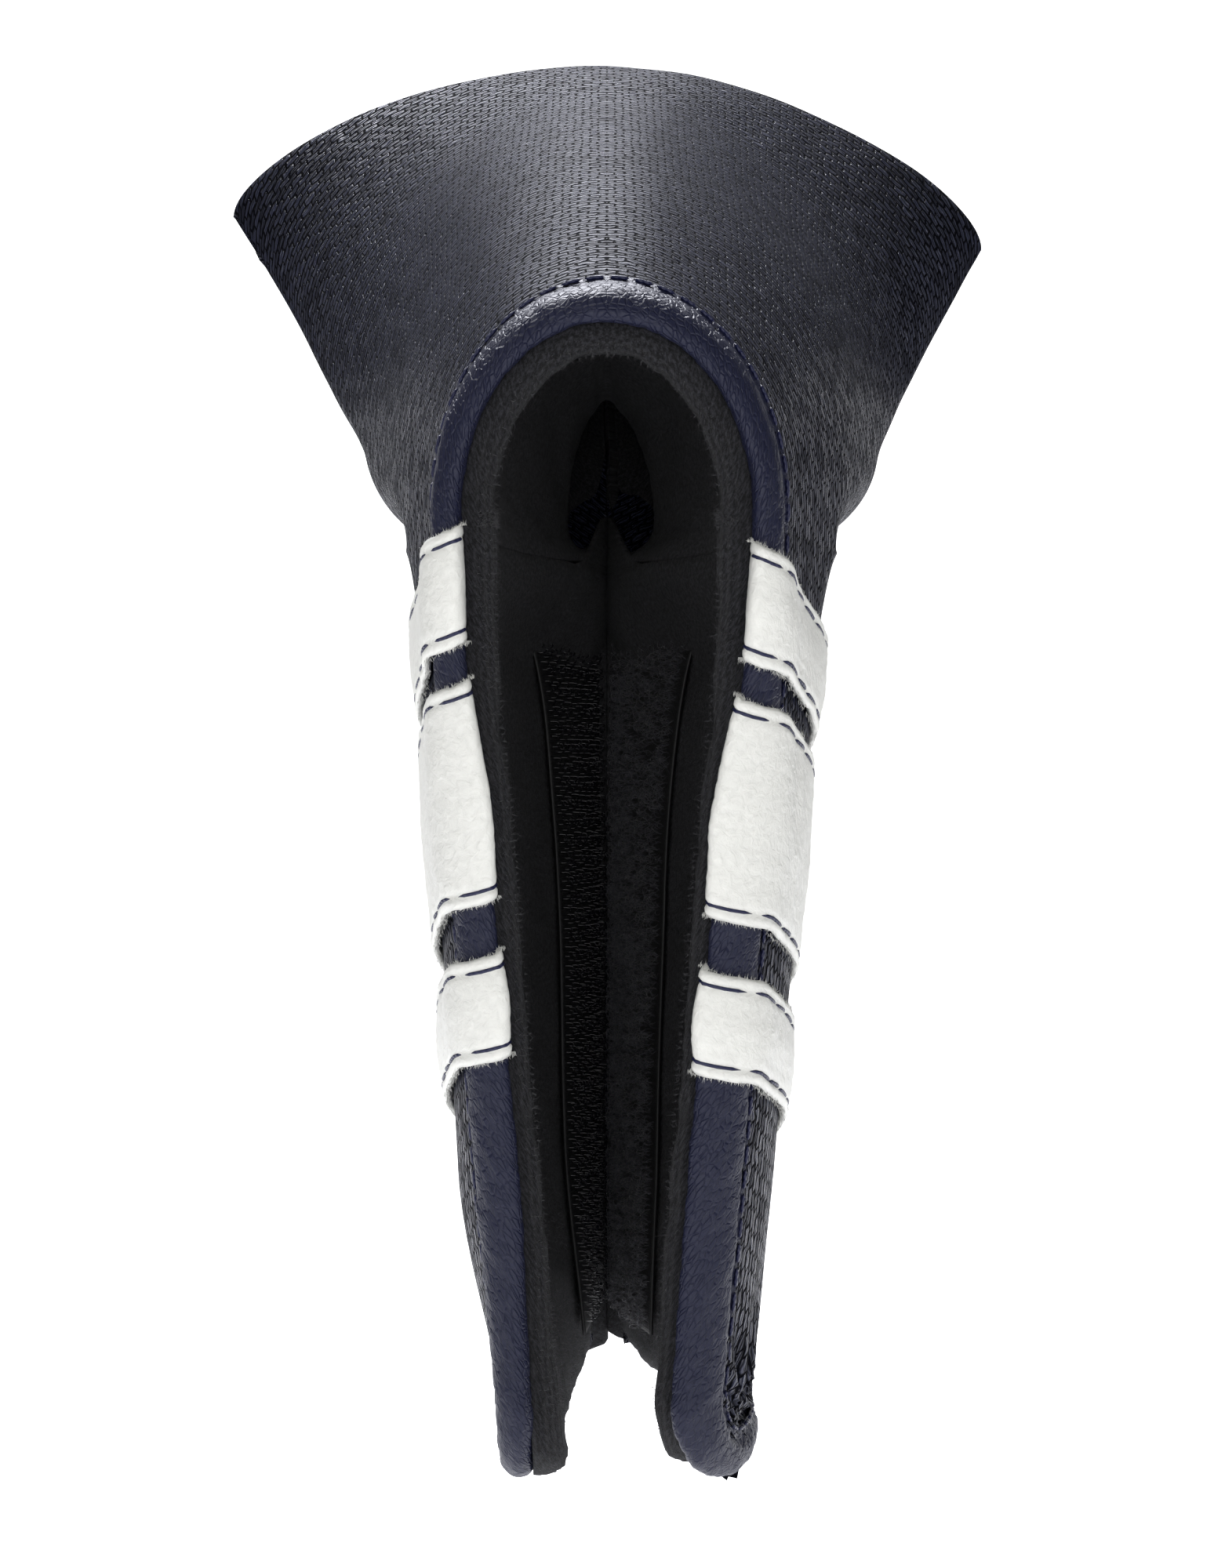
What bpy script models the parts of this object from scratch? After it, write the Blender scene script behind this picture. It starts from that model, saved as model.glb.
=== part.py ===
"""Soft putter head cover: a padded leather pocket with two hanging neck flaps.

The cover is held sole up, as it sits on a club that stands head-up. The pocket runs
away from the open slot, towards +Y, and closes flat across at the toe. The two flaps
hang from the pocket on either side of the slot and close on each other with a hook
and a loop tape. Lengths are in metres, +Z is up, +X is the right side.
"""
import math

import bmesh
import bpy
from mathutils import Matrix, Vector

# ---- driving dimensions ----------------------------------------------------------
POCKET_DEPTH = 0.120       # slot plane to toe seam
ARCH_RISE = 0.0278         # top of the slot arch above the flap roots
TOE_RISE = 0.088           # middle of the toe seam above the flap roots
TOE_HALF_WIDTH = 0.0630
TOE_DROOP = 0.026          # toe corners below the middle of the toe seam
TOE_ROLL = 0.045           # the soft toe leans to the right: rise per unit of width
TOE_LIP = 0.0022           # half the height of the closed toe edge
WIDEST = (0.002, 0.020, 0.012)     # rise of the widest line: at the slot, per s, per s squared
SIDE_ROUND = 0.024         # fullness of the pocket's sides below their widest line
POCKET_FLARE = 0.022       # even widening of the pocket, slot to toe
SLOT_HALF_WIDTH = 0.0200   # outer face at the slot, level with the flap roots
SLOT_TAPER = 0.42          # share of that width lost at the neck end
FLAP_LENGTH = 0.114        # flap root to neck end
FLAP_DEPTH = 0.075         # slot edge to the closed far edge
FLAP_BELLY = {"left": 0.0125, "right": 0.0180}    # bulge of a flap's outer face
NECK_PINCH = {"left": 0.80, "right": 0.10}        # share of that bulge lost at the neck end
ROOT_BELLY = {"left": 0.0010, "right": 0.0060}    # more bulge, at the flap's root only
POCKET_BELLY = {"left": 0.0020, "right": 0.0065}  # bulge of the pocket's side
REAR_BELLY = (0.0010, 0.0170, 0.12)   # bulge near the far edge: lasting, at the root, its run
FAR_SPREAD = (0.0012, 0.10)           # the far edge's own spread at the root, and its run
NECK_CORNER = 0.010        # corner radius, slot edge to neck end
FAR_CORNER = 0.006         # corner radius, neck end to far edge

LEATHER = 0.0012
PADDING = 0.0022
FLEECE = 0.0030
TAPE = 0.0012
STRIPE = 0.0009
THREAD_RADIUS = 0.00025
THREAD_LIFT = 1.2 * THREAD_RADIUS  # middle of a thread above the layer it lies on
CLEARANCE = 0.0003

TAPE_WIDTH = 0.025
TAPE_TOP = 0.010           # tape end below the flap root
TAPE_EDGE = 0.002          # tape inside the flap's far edge and neck end
BINDING_LEG = 0.0030       # binding over the outer leather
BINDING_THICK = 0.0009
BINDING_ROLL = 0.0026      # binding in front of the slot edge
BINDING_STITCH = 0.0012    # stitch row outside the binding's edge
STRIPES = {"upper": (0.0035, 0.0140), "middle": (0.0218, 0.0262), "lower": (0.0542, 0.0125)}
STRIPE_SHIFT = {"left": -0.0010, "right": 0.0010}  # right stripes are sewn lower
STRIPE_FALL = 0.35         # drop of a stripe per length along the flap
STITCH_INSET = 0.0016      # stitch row inside a stripe's edge
STRIPE_TAIL = 0.003        # a stripe ends this far short of the far edge
ROOT_GAP = 0.0004          # half the gap between pocket and flap at the root
LAYER_ROOT_GAP = 0.0030    # padding and lining stop this far below the root
SEAM_GAP = 0.0006          # half the gap between edges that are sewn together
SEAT_Y = 0.055             # where the club head bears on the pocket's lining

# ---- layer depths, measured inwards from the outer face --------------------------
PADDING_DEPTH = LEATHER + CLEARANCE
LINING_DEPTH = PADDING_DEPTH + PADDING + CLEARANCE
WALL = LINING_DEPTH + FLEECE
TAPE_DEPTH = WALL + 2 * CLEARANCE
FAR_HALF_WIDTH = TAPE_DEPTH + TAPE + CLEARANCE
TOE_RUN = 3.9              # a layer stops this many times its depth before the toe
LINING_SEAM = 0.012        # half the lining's centre gap, as a share of half the way round
LINING_START = 0.004       # inner layers start this share of the pocket in from the slot
ROW_SPACE = 0.012          # least share between a layer's end and the next row of facets

SIDES = {"left": -1.0, "right": 1.0}


# ---- shape functions -------------------------------------------------------------
def bezier(p0, p1, p2, p3, t):
    """Point or number at t on a cubic."""
    r = 1.0 - t
    return p0 * r**3 + p1 * (3 * r * r * t) + p2 * (3 * r * t * t) + p3 * t**3


def ease(low, high, value):
    """0 below low, 1 above high, smooth between."""
    t = min(max((value - low) / (high - low), 0.0), 1.0)
    return t * t * (3.0 - 2.0 * t)


def flap_half_width(side, y, z):
    """Half width of the cover's outer face on a flap, at depth y and height z below 0."""
    fall = max(-z / FLAP_LENGTH, 0.0)
    slot = SLOT_HALF_WIDTH * (1.0 - SLOT_TAPER * fall**1.2)
    belly = slot + FLAP_BELLY[side] * (1.0 - NECK_PINCH[side] * ease(0.7, 1.0, fall))
    belly += ROOT_BELLY[side] * math.exp(-fall / 0.15)
    lasting, rooted, run = REAR_BELLY
    rear = FAR_HALF_WIDTH + lasting + rooted * math.exp(-fall / run)
    far = FAR_HALF_WIDTH + FAR_SPREAD[0] * math.exp(-fall / FAR_SPREAD[1])
    return bezier(slot, belly, rear, far, y / FLAP_DEPTH)


def steepness(height, at, step=1e-4):
    """Length of a slanted line per unit of its run, for height(at)."""
    return math.hypot(1.0, (height(at + step) - height(at - step)) / (2 * step))


def flap_point(side, y, z, depth):
    """Point on a flap, depth below its outer face and level with that face's point."""
    lean = steepness(lambda t: flap_half_width(side, t, z), y)
    return Vector((SIDES[side] * (flap_half_width(side, y, z) - depth * lean), y, z))


def pocket_top(s):
    """Height of the pocket's middle line."""
    rise = ARCH_RISE + (TOE_RISE - ARCH_RISE) * (1.12 * s - 0.12 * s * s)
    return rise + TOE_LIP * ease(0.8, 1.0, s)


def pocket_half_width(side, s):
    """Half width at the pocket's widest line."""
    flare = TOE_HALF_WIDTH - SLOT_HALF_WIDTH - POCKET_FLARE
    bulge = POCKET_BELLY[side] * math.sin(math.pi * min(max(s, 0.0), 1.0))
    return SLOT_HALF_WIDTH + POCKET_FLARE * s + flare * abs(s)**6 + bulge


def pocket_point(s, v, depth):
    """Point on the pocket, depth below its outer face: s runs from slot (0) to toe (1),
    v round from the left lower edge (-1) over the top (0) to the right lower edge (1)."""
    side = "left" if v < 0 else "right"
    y = s * POCKET_DEPTH
    top = pocket_top(s) - depth * steepness(lambda t: pocket_top(t / POCKET_DEPTH), y)
    wide = pocket_half_width(side, s)
    wide -= depth * steepness(lambda t: pocket_half_width(side, t / POCKET_DEPTH), y)
    toe_climb = TOE_RISE - TOE_DROOP - sum(WIDEST)
    wide_z = WIDEST[0] + WIDEST[1] * s + WIDEST[2] * s * s + toe_climb * abs(s)**6
    wide_z += 0.7 * depth * ease(0.5, 0.8, s)
    run = max((y - FLAP_DEPTH) / (POCKET_DEPTH - FLAP_DEPTH), 0.0)
    turn = ease(0.35, 0.68, s)
    root_y = min(y, FLAP_DEPTH)
    root_x = abs(flap_point(side, root_y, 0.0, depth * (1.0 - turn)).x)
    end_x = max(root_x * (1.0 - ease(0.0, 0.14, run)), SEAM_GAP)
    climb = (TOE_RISE - TOE_LIP - ROOT_GAP) / (POCKET_DEPTH - FLAP_DEPTH)
    lift = 1.0 + (math.hypot(1.0, climb) - 1.0) * ease(0.0, 0.3, run)
    end_z = ROOT_GAP + (TOE_RISE - TOE_LIP - ROOT_GAP) * run + depth * turn * lift
    around = abs(v) * 2.0
    if around <= 1.0:
        full = 0.5523 - 0.05 * s
        shoulder = (top - wide_z) * (0.5523 - 0.23 * abs(s)**4)
        x = bezier(0.0, full * wide, wide, wide, around)
        z = bezier(top, top, wide_z + shoulder, wide_z, around)
    else:
        closed = ease(0.5, 0.8, s)
        under = max(0.0008 + SIDE_ROUND * max(1.0 - s, 0.0)**0.45 - depth, 0.0004)
        drop = (1.0 - closed) * 0.55 * max(wide_z - end_z, 0.0) + closed * under
        reach_x = end_x + turn * 0.5 * (wide - end_x)
        reach_z = end_z + (1.0 - turn) * 0.45 * (wide_z - end_z)
        x = bezier(wide, wide, reach_x, end_x, around - 1.0)
        z = bezier(wide_z, wide_z - drop, reach_z, end_z, around - 1.0)
    x *= SIDES[side]
    return Vector((x, y, z - TOE_ROLL * x * max(s, 0.0)**2))


# ---- making solids ---------------------------------------------------------------
def new_material(name, colour, roughness):
    """A plain material with its own colour and roughness."""
    material = bpy.data.materials.new(name)
    material.use_nodes = True
    shader = material.node_tree.nodes["Principled BSDF"]
    shader.inputs["Base Color"].default_value = (*colour, 1.0)
    shader.inputs["Roughness"].default_value = roughness
    shader.inputs["Metallic"].default_value = 0.0
    return material


def new_object(name, mesh, material, seat):
    """Link a part, with its mesh moved so that the seat is the origin."""
    mesh.transform(seat)
    mesh.shade_smooth()
    mesh.set_sharp_from_angle(angle=math.radians(40))
    mesh.materials.append(material)
    part = bpy.data.objects.new(name, mesh)
    parts.objects.link(part)
    return part


def shell(name, material, seat, rows, cols, outer, inner):
    """A layer lofted between its outer and inner faces, each given as point(row, col)."""
    form = bmesh.new()
    faces = [[[form.verts.new(point(row, col)) for col in cols] for row in rows]
             for point in (outer, inner)]
    last, end = len(rows) - 1, len(cols) - 1
    for grid in faces:
        for i in range(last):
            for j in range(end):
                form.faces.new((grid[i][j], grid[i + 1][j], grid[i + 1][j + 1], grid[i][j + 1]))
    rim = [(i, 0) for i in range(last)] + [(last, j) for j in range(end)]
    rim += [(i, end) for i in range(last, 0, -1)] + [(0, j) for j in range(end, 0, -1)]
    for (i, j), (m, n) in zip(rim, rim[1:] + rim[:1]):
        form.faces.new((faces[0][i][j], faces[0][m][n], faces[1][m][n], faces[1][i][j]))
    bmesh.ops.recalc_face_normals(form, faces=form.faces)
    mesh = bpy.data.meshes.new(name)
    form.to_mesh(mesh)
    form.free()
    return new_object(name, mesh, material, seat)


def sweep(name, material, seat, stations, section, point):
    """A closed section carried along stations, with capped ends: point(station, corner)."""
    form = bmesh.new()
    rings = [[form.verts.new(point(station, corner)) for corner in section] for station in stations]
    count = len(section)
    for ring, after in zip(rings, rings[1:]):
        for k in range(count):
            form.faces.new((ring[k], ring[(k + 1) % count], after[(k + 1) % count], after[k]))
    form.faces.new(rings[0])
    form.faces.new(rings[-1])
    bmesh.ops.recalc_face_normals(form, faces=form.faces)
    bmesh.ops.triangulate(form, faces=[face for face in form.faces if len(face.verts) > 4])
    mesh = bpy.data.meshes.new(name)
    form.to_mesh(mesh)
    form.free()
    return new_object(name, mesh, material, seat)


def thread(name, material, seat, points):
    """A stitch row as one thin round cord through points."""
    curve = bpy.data.curves.new(name, "CURVE")
    curve.dimensions = "3D"
    curve.bevel_depth = THREAD_RADIUS
    curve.bevel_resolution = 0
    curve.use_fill_caps = True
    spline = curve.splines.new("POLY")
    spline.points.add(len(points) - 1)
    for place, spot in zip(spline.points, points):
        place.co = (*(seat @ spot), 1.0)
    curve.materials.append(material)
    part = bpy.data.objects.new(name, curve)
    parts.objects.link(part)
    return part


def steps(first, last, count):
    """Evenly spaced numbers from first to last."""
    return [first + (last - first) * i / (count - 1) for i in range(count)]


# ---- binding ---------------------------------------------------------------------
def binding_section():
    """Corners of the binding as (depth, reach): reach is outwards past the edge."""
    top = -CLEARANCE - BINDING_THICK
    inner = LINING_DEPTH - CLEARANCE
    roll = CLEARANCE + BINDING_ROLL
    return [(top, -BINDING_LEG), (top, 0.1 * roll), (0.55 * top, 0.55 * roll),
            (0.12 * inner, 0.88 * roll), (0.5 * inner, roll), (0.82 * inner, 0.8 * roll),
            (inner, 0.45 * roll), (inner, CLEARANCE), (-CLEARANCE, CLEARANCE),
            (-CLEARANCE, -BINDING_LEG)]


def flap_edge(side):
    """Stations down the slot edge, round the neck corner and along the neck end, each
    (y, z, outward y, outward z)."""
    bottom = -FLAP_LENGTH
    path = [(0.0, z, -1.0, 0.0) for z in steps(-ROOT_GAP, bottom + NECK_CORNER, 17)]
    for k in range(1, 6):
        angle = 0.5 * math.pi * k / 6
        path.append((NECK_CORNER * (1 - math.cos(angle)),
                     bottom + NECK_CORNER * (1 - math.sin(angle)),
                     -math.cos(angle), -math.sin(angle)))
    path += [(y, bottom, 0.0, -1.0) for y in steps(NECK_CORNER, FLAP_DEPTH - FAR_CORNER, 9)]
    return path


def flap_row_limits(z):
    """First and last y of a flap layer at height z, inside its rounded corners."""
    limits = []
    for radius in (NECK_CORNER, FAR_CORNER):
        bend = max(radius - (z + FLAP_LENGTH), 0.0)
        limits.append(radius - math.sqrt(max(radius * radius - bend * bend, 0.0)))
    return limits[0], FLAP_DEPTH - limits[1]


# ---- stripes ---------------------------------------------------------------------
def stripe_path(lift):
    """The way a stripe takes over the binding and along the flap, as (depth, y)."""
    top = -CLEARANCE - BINDING_THICK - CLEARANCE - lift
    inner = LINING_DEPTH - CLEARANCE
    roll = CLEARANCE + BINDING_ROLL + CLEARANCE + lift
    down = -CLEARANCE - lift
    path = [(0.80 * inner, -0.90 * roll), (0.5 * inner, -1.02 * roll), (0.10 * inner, -0.94 * roll),
            (0.66 * top, -0.62 * roll), (1.06 * top, -0.12 * roll), (1.06 * top, BINDING_LEG + CLEARANCE),
            (down, BINDING_LEG + 0.0022)]
    return path + [(down, y) for y in steps(BINDING_LEG + 0.008, FLAP_DEPTH - STRIPE_TAIL, 12)]


def stripe_point(side, name, row, across, lift):
    """Point on a stripe: row along its path, across from its upper edge in metres."""
    depth, y = stripe_path(lift)[row]
    start = STRIPES[name][0] + STRIPE_SHIFT[side]
    z = -start - across - STRIPE_FALL * max(y, 0.0)
    return flap_point(side, y, z, depth)


# ---- the pieces ------------------------------------------------------------------
def pocket_rows():
    """The rows that every pocket layer shares, with each layer's end among them, so that
    the flat facets of neighbouring layers lie in step."""
    ends = [layer_end(PADDING_DEPTH, PADDING), layer_end(LINING_DEPTH, FLEECE)]
    plain = steps(0.08, 0.48, 5) + steps(0.55, 0.97, 9)
    clear = [row for row in plain if all(abs(row - end) > ROW_SPACE for end in ends)]
    return sorted([0.0, LINING_START, 1.0] + ends + clear)


def layer_end(depth, thickness):
    """Share of the pocket's depth at which a layer stops."""
    return 1.0 - (depth + thickness - LEATHER) * TOE_RUN / POCKET_DEPTH


def pocket(seat, materials):
    around = steps(-1.0, 1.0, 33)

    def layer(name, material, depth, thickness, cols):
        start = 0.0 if depth == 0.0 else LINING_START
        rows = [row for row in pocket_rows() if start <= row <= layer_end(depth, thickness)]
        return shell(name, material, seat, rows, cols,
                     lambda s, v: pocket_point(s, v, depth),
                     lambda s, v: pocket_point(s, v, depth + thickness))

    layer("pocket_leather", materials["embossed"], 0.0, LEATHER, around)
    layer("pocket_padding", materials["foam"], PADDING_DEPTH, PADDING, around)
    half = [v for v in around if v > 0]
    layer("pocket_lining_left", materials["fleece"], LINING_DEPTH, FLEECE,
          [-v for v in reversed(half)] + [-LINING_SEAM])
    layer("pocket_lining_right", materials["fleece"], LINING_DEPTH, FLEECE, [LINING_SEAM] + half)

    def arch_point(v, corner):
        depth, reach = corner
        return pocket_point(-reach / POCKET_DEPTH, v, depth)

    sweep("arch_binding", materials["binding"], seat, around, binding_section(), arch_point)
    above = -CLEARANCE - THREAD_LIFT
    thread("arch_binding_stitch", materials["thread"], seat,
           [pocket_point((BINDING_LEG + BINDING_STITCH) / POCKET_DEPTH, v, above)
            for v in steps(-0.97, 0.97, 41)])
    below = Vector((0.0, 0.0012, -0.0008))
    thread("underside_seam_stitch", materials["thread"], seat,
           [Vector((0.0, s * POCKET_DEPTH, pocket_point(s, 1.0, 0.0).z)) + below
            for s in steps(0.74, 0.985, 12)])

    def toe_middle(v):
        """Middle of the closed toe edge, at share v of the upper side."""
        under = math.copysign(1.0 - abs(v), v)
        return 0.5 * (pocket_point(1.0, v, 0.0) + pocket_point(1.0, under, 0.0))

    past = Vector((0.0, 0.0016, 0.0))
    thread("toe_seam_stitch", materials["thread"], seat,
           [toe_middle(v) + past for v in steps(-0.46, 0.46, 25)])


def flap(side, seat, materials):
    bottom = -FLAP_LENGTH

    def layer(name, material, depth, thickness, top):
        heights = [-top] + [(bottom + NECK_CORNER) * (k / 10)**1.4 for k in range(2, 11)]
        heights += [bottom + NECK_CORNER * part for part in (0.60, 0.30, 0.12, 0.02)]
        shares = steps(0.0, 1.0, 14)

        def place(z, share, below):
            first, last = flap_row_limits(z)
            return flap_point(side, first + (last - first) * share, z, below)

        return shell(name, material, seat, heights, shares,
                     lambda z, share: place(z, share, depth),
                     lambda z, share: place(z, share, depth + thickness))

    layer(f"{side}_flap_leather", materials["embossed"], 0.0, LEATHER, ROOT_GAP)
    layer(f"{side}_flap_padding", materials["foam"], PADDING_DEPTH, PADDING, LAYER_ROOT_GAP)
    layer(f"{side}_flap_lining", materials["fleece"], LINING_DEPTH, FLEECE, LAYER_ROOT_GAP)

    kind = "hook" if side == "left" else "loop"
    heights = steps(-TAPE_TOP, bottom + FAR_CORNER, 14)
    depths = steps(FLAP_DEPTH - TAPE_EDGE - TAPE_WIDTH, FLAP_DEPTH - TAPE_EDGE, 5)
    shell(f"{side}_{kind}_tape", materials[kind], seat, heights, depths,
          lambda z, y: flap_point(side, y, z, TAPE_DEPTH),
          lambda z, y: flap_point(side, y, z, TAPE_DEPTH + TAPE))

    def edge_point(station, corner):
        y, z, out_y, out_z = station
        depth, reach = corner
        return flap_point(side, y + reach * out_y, z + reach * out_z, depth)

    edge = flap_edge(side)
    sweep(f"{side}_flap_binding", materials["binding"], seat, edge, binding_section(), edge_point)
    lowest = STRIPES["lower"][0] + STRIPES["lower"][1] + 0.004
    row = [(y, z, oy, oz) for y, z, oy, oz in edge if z < -lowest]
    reach = -BINDING_LEG - BINDING_STITCH
    thread(f"{side}_binding_stitch", materials["thread"], seat,
           [edge_point(station, (-CLEARANCE - THREAD_LIFT, reach)) for station in row])

    for name, (start, width) in STRIPES.items():
        rows = list(range(len(stripe_path(0.0))))
        cols = steps(0.0, width, 4)
        shell(f"{side}_stripe_{name}", materials["white"], seat, rows, cols,
              lambda r, c, name=name: stripe_point(side, name, r, c, STRIPE),
              lambda r, c, name=name: stripe_point(side, name, r, c, 0.0))
        lift = STRIPE + CLEARANCE + THREAD_LIFT
        down = [stripe_point(side, name, r, STITCH_INSET, lift) for r in rows[:-1]]
        back = [stripe_point(side, name, r, width - STITCH_INSET, lift) for r in reversed(rows[:-1])]
        thread(f"{side}_stripe_stitch_{name}", materials["thread"], seat, down + back)


def main():
    bearing = pocket_point(SEAT_Y / POCKET_DEPTH, 0.0, WALL)
    seat = Matrix.Translation(-Vector((0.0, bearing.y, bearing.z)))
    materials = {
        "embossed": new_material("embossed_navy_leather", (0.020, 0.024, 0.060), 0.42),
        "binding": new_material("smooth_navy_leather", (0.022, 0.028, 0.085), 0.40),
        "white": new_material("white_leather", (0.86, 0.87, 0.84), 0.45),
        "fleece": new_material("black_fleece", (0.008, 0.008, 0.009), 0.95),
        "foam": new_material("grey_foam", (0.30, 0.30, 0.31), 0.90),
        "hook": new_material("hook_nylon", (0.006, 0.006, 0.007), 0.50),
        "loop": new_material("loop_nylon", (0.010, 0.010, 0.011), 0.85),
        "thread": new_material("navy_thread", (0.015, 0.018, 0.050), 0.60),
    }
    pocket(seat, materials)
    for side in SIDES:
        flap(side, seat, materials)


for old in list(bpy.data.objects):
    bpy.data.objects.remove(old, do_unlink=True)
parts = bpy.data.collections.new("putter_head_cover")
bpy.context.scene.collection.children.link(parts)
main()
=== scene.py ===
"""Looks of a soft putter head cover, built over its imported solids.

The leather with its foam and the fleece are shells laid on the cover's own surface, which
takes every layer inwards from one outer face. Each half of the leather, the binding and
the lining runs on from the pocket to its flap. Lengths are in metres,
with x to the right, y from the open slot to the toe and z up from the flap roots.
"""
import math
import random

import bmesh
import bpy
import numpy as np
from bpy.props import FloatProperty, FloatVectorProperty, PointerProperty, StringProperty
from mathutils import Matrix, Vector, noise


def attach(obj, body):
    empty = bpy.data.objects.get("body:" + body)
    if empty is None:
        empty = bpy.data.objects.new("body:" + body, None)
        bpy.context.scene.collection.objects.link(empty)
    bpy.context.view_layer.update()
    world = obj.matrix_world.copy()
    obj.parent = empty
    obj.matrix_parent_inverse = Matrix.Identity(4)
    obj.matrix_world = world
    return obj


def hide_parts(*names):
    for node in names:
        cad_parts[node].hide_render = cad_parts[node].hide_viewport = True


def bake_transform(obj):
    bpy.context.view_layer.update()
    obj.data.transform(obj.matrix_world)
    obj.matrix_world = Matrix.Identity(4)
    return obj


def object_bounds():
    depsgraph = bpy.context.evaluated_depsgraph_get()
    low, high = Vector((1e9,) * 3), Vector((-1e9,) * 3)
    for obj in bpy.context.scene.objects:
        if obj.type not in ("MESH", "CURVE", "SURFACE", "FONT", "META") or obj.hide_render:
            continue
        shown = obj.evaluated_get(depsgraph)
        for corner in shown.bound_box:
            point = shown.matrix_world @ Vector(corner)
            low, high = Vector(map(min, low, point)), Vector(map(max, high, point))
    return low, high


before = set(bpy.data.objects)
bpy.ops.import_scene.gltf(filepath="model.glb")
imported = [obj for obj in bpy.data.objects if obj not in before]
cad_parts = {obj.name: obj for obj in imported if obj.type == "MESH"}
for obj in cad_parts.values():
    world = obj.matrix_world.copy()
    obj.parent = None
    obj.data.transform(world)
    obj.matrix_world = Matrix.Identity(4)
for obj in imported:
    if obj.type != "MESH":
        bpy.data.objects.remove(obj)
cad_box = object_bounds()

bl_info = {
    "name": "Putter head cover",
    "version": (1, 0, 0),
    "blender": (4, 5, 0),
    "location": "3D View > Sidebar > Head cover",
    "description": "Builds the leather, fleece, binding, stripes and tapes of a head cover",
    "category": "Object",
}

SIDES = {"left": -1.0, "right": 1.0}     # which way x points on each half
HALVES = {"left": 0, "right": 1}         # each half's place in a pair of settings


# ---- settings --------------------------------------------------------------------
def length(name, description, default):
    """A length property."""
    return FloatProperty(name=name, description=description, default=default, unit="LENGTH")


def halves(name, description, default):
    """A pair of lengths, for the left and the right half."""
    return FloatVectorProperty(name=name, description=description, default=default, size=2,
                               unit="LENGTH")


def colour(name, description, default):
    """A colour as an sRGB hex code."""
    return StringProperty(name=name, description=description, default=default)


class CoverSizes(bpy.types.PropertyGroup):
    """Sizes of the cover."""
    pocket_depth: length("Pocket depth", "Slot plane to toe seam", 0.120)
    arch_rise: length("Arch rise", "Top of the slot's arch above the flap roots", 0.0278)
    toe_rise: length("Toe rise", "Middle of the toe seam above the flap roots", 0.088)
    toe_half_width: length("Toe half width", "Half of the pocket's width at the toe", 0.0630)
    toe_droop: length("Toe droop", "Toe corners below the toe seam's middle", 0.026)
    toe_lip: length("Toe lip", "Half the height of the closed toe edge", 0.0022)
    side_round: length("Side round", "Fullness of the sides below their widest line", 0.024)
    pocket_flare: length("Pocket flare", "Even widening from slot to toe", 0.022)
    pocket_belly: halves("Pocket belly", "Bulge of the pocket's sides", (0.0020, 0.0065))
    slot_half_width: length("Slot half width", "Outer face at the flap roots", 0.0200)
    flap_length: length("Flap length", "Flap root to neck end", 0.114)
    flap_depth: length("Flap depth", "Slot edge to far edge", 0.075)
    flap_belly: halves("Flap belly", "Bulge of the flaps' outer faces", (0.0125, 0.0180))
    root_belly: halves("Root belly", "More bulge at the flaps' roots", (0.0010, 0.0060))
    neck_corner: length("Neck corner", "Corner radius, slot edge to neck end", 0.010)
    far_corner: length("Far corner", "Corner radius, neck end to far edge", 0.006)
    skin: length("Skin", "Leather and foam together", 0.0036)
    lining_depth: length("Lining depth", "Outer face to the back of the fleece", 0.0040)
    wall: length("Wall", "Outer face to the front of the fleece", 0.0070)
    tape: length("Tape", "Thickness of the closing tapes", 0.0012)
    tape_width: length("Tape width", "Width of the closing tapes", 0.025)
    tape_top: length("Tape top", "Tape end below the flap root", 0.010)
    tape_edge: length("Tape edge", "Tape inside the far edge and neck end", 0.002)
    stripe: length("Stripe", "Thickness of the white leather", 0.0011)
    stitch_inset: length("Stitch inset", "Stitch row inside a stripe's edge", 0.0016)
    thread: length("Thread", "Radius of the sewing thread", 0.00023)
    seat_y: length("Seat", "Slot plane to where the club head bears", 0.055)


class CoverColours(bpy.types.PropertyGroup):
    """Colours of the cover."""
    # The embossed leather's colour is painted: the raised colour is lightened as painted
    # highlight, the hollow colour is near black as painted shade.
    leather: colour("Leather", "Embossed leather on its raised parts", "#434762")
    leather_low: colour("Leather low", "Embossed leather in its hollows", "#080912")
    binding: colour("Binding", "Smooth leather", "#1b1e36")
    stripe: colour("Stripe", "White leather", "#f4f4ee")
    raw_edge: colour("Raw edge", "Fibres of the white leather's cut edge", "#dcdcd6")
    fleece: colour("Fleece", "Lining", "#101012")
    fleck: colour("Fleck", "Lighter fibres in the lining and the loops", "#45454b")
    fibre: colour("Fibre", "Fibres that stand out of the lining", "#303034")
    tape: colour("Tape", "Woven ground of the tapes", "#070709")
    hook: colour("Hook", "Moulded hooks", "#101015")
    thread: colour("Thread", "Sewing thread", "#1c2044")
    stage: colour("Stage", "Floor and backdrop", "#ffffff")


# ---- the cover's surface ---------------------------------------------------------
SLOT_TAPER = 0.42            # share of the slot's width lost at the neck end
TOE_ROLL = 0.045             # the soft toe leans to the right: rise per unit of width
NECK_PINCH = (0.80, 0.10)    # share of the flaps' bulge lost at the neck end
WIDEST = (0.002, 0.020, 0.012)      # rise of the widest line: at the slot, per s, per s squared
REAR_BELLY = (0.0010, 0.0170, 0.12)
FAR_SPREAD = (0.0012, 0.10)
SEAM_GAP = 0.00005           # the underside's two edges meet here
MEET = 0.0002                # soft edges press into each other by this much
LINING_SAG = (0.78, 0.55)    # share of its width and height the empty lining loses inside
CLOSE_RUN = 0.05             # the underside closes behind the flaps over this share
ROOT_FADE = 0.038            # the flaps bulge past the pocket's sides only below this
STRIPES = {"upper": (0.0035, 0.0140), "middle": (0.0218, 0.0262), "lower": (0.0542, 0.0125)}
STRIPE_SHIFT = (-0.0010, 0.0010)
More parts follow.
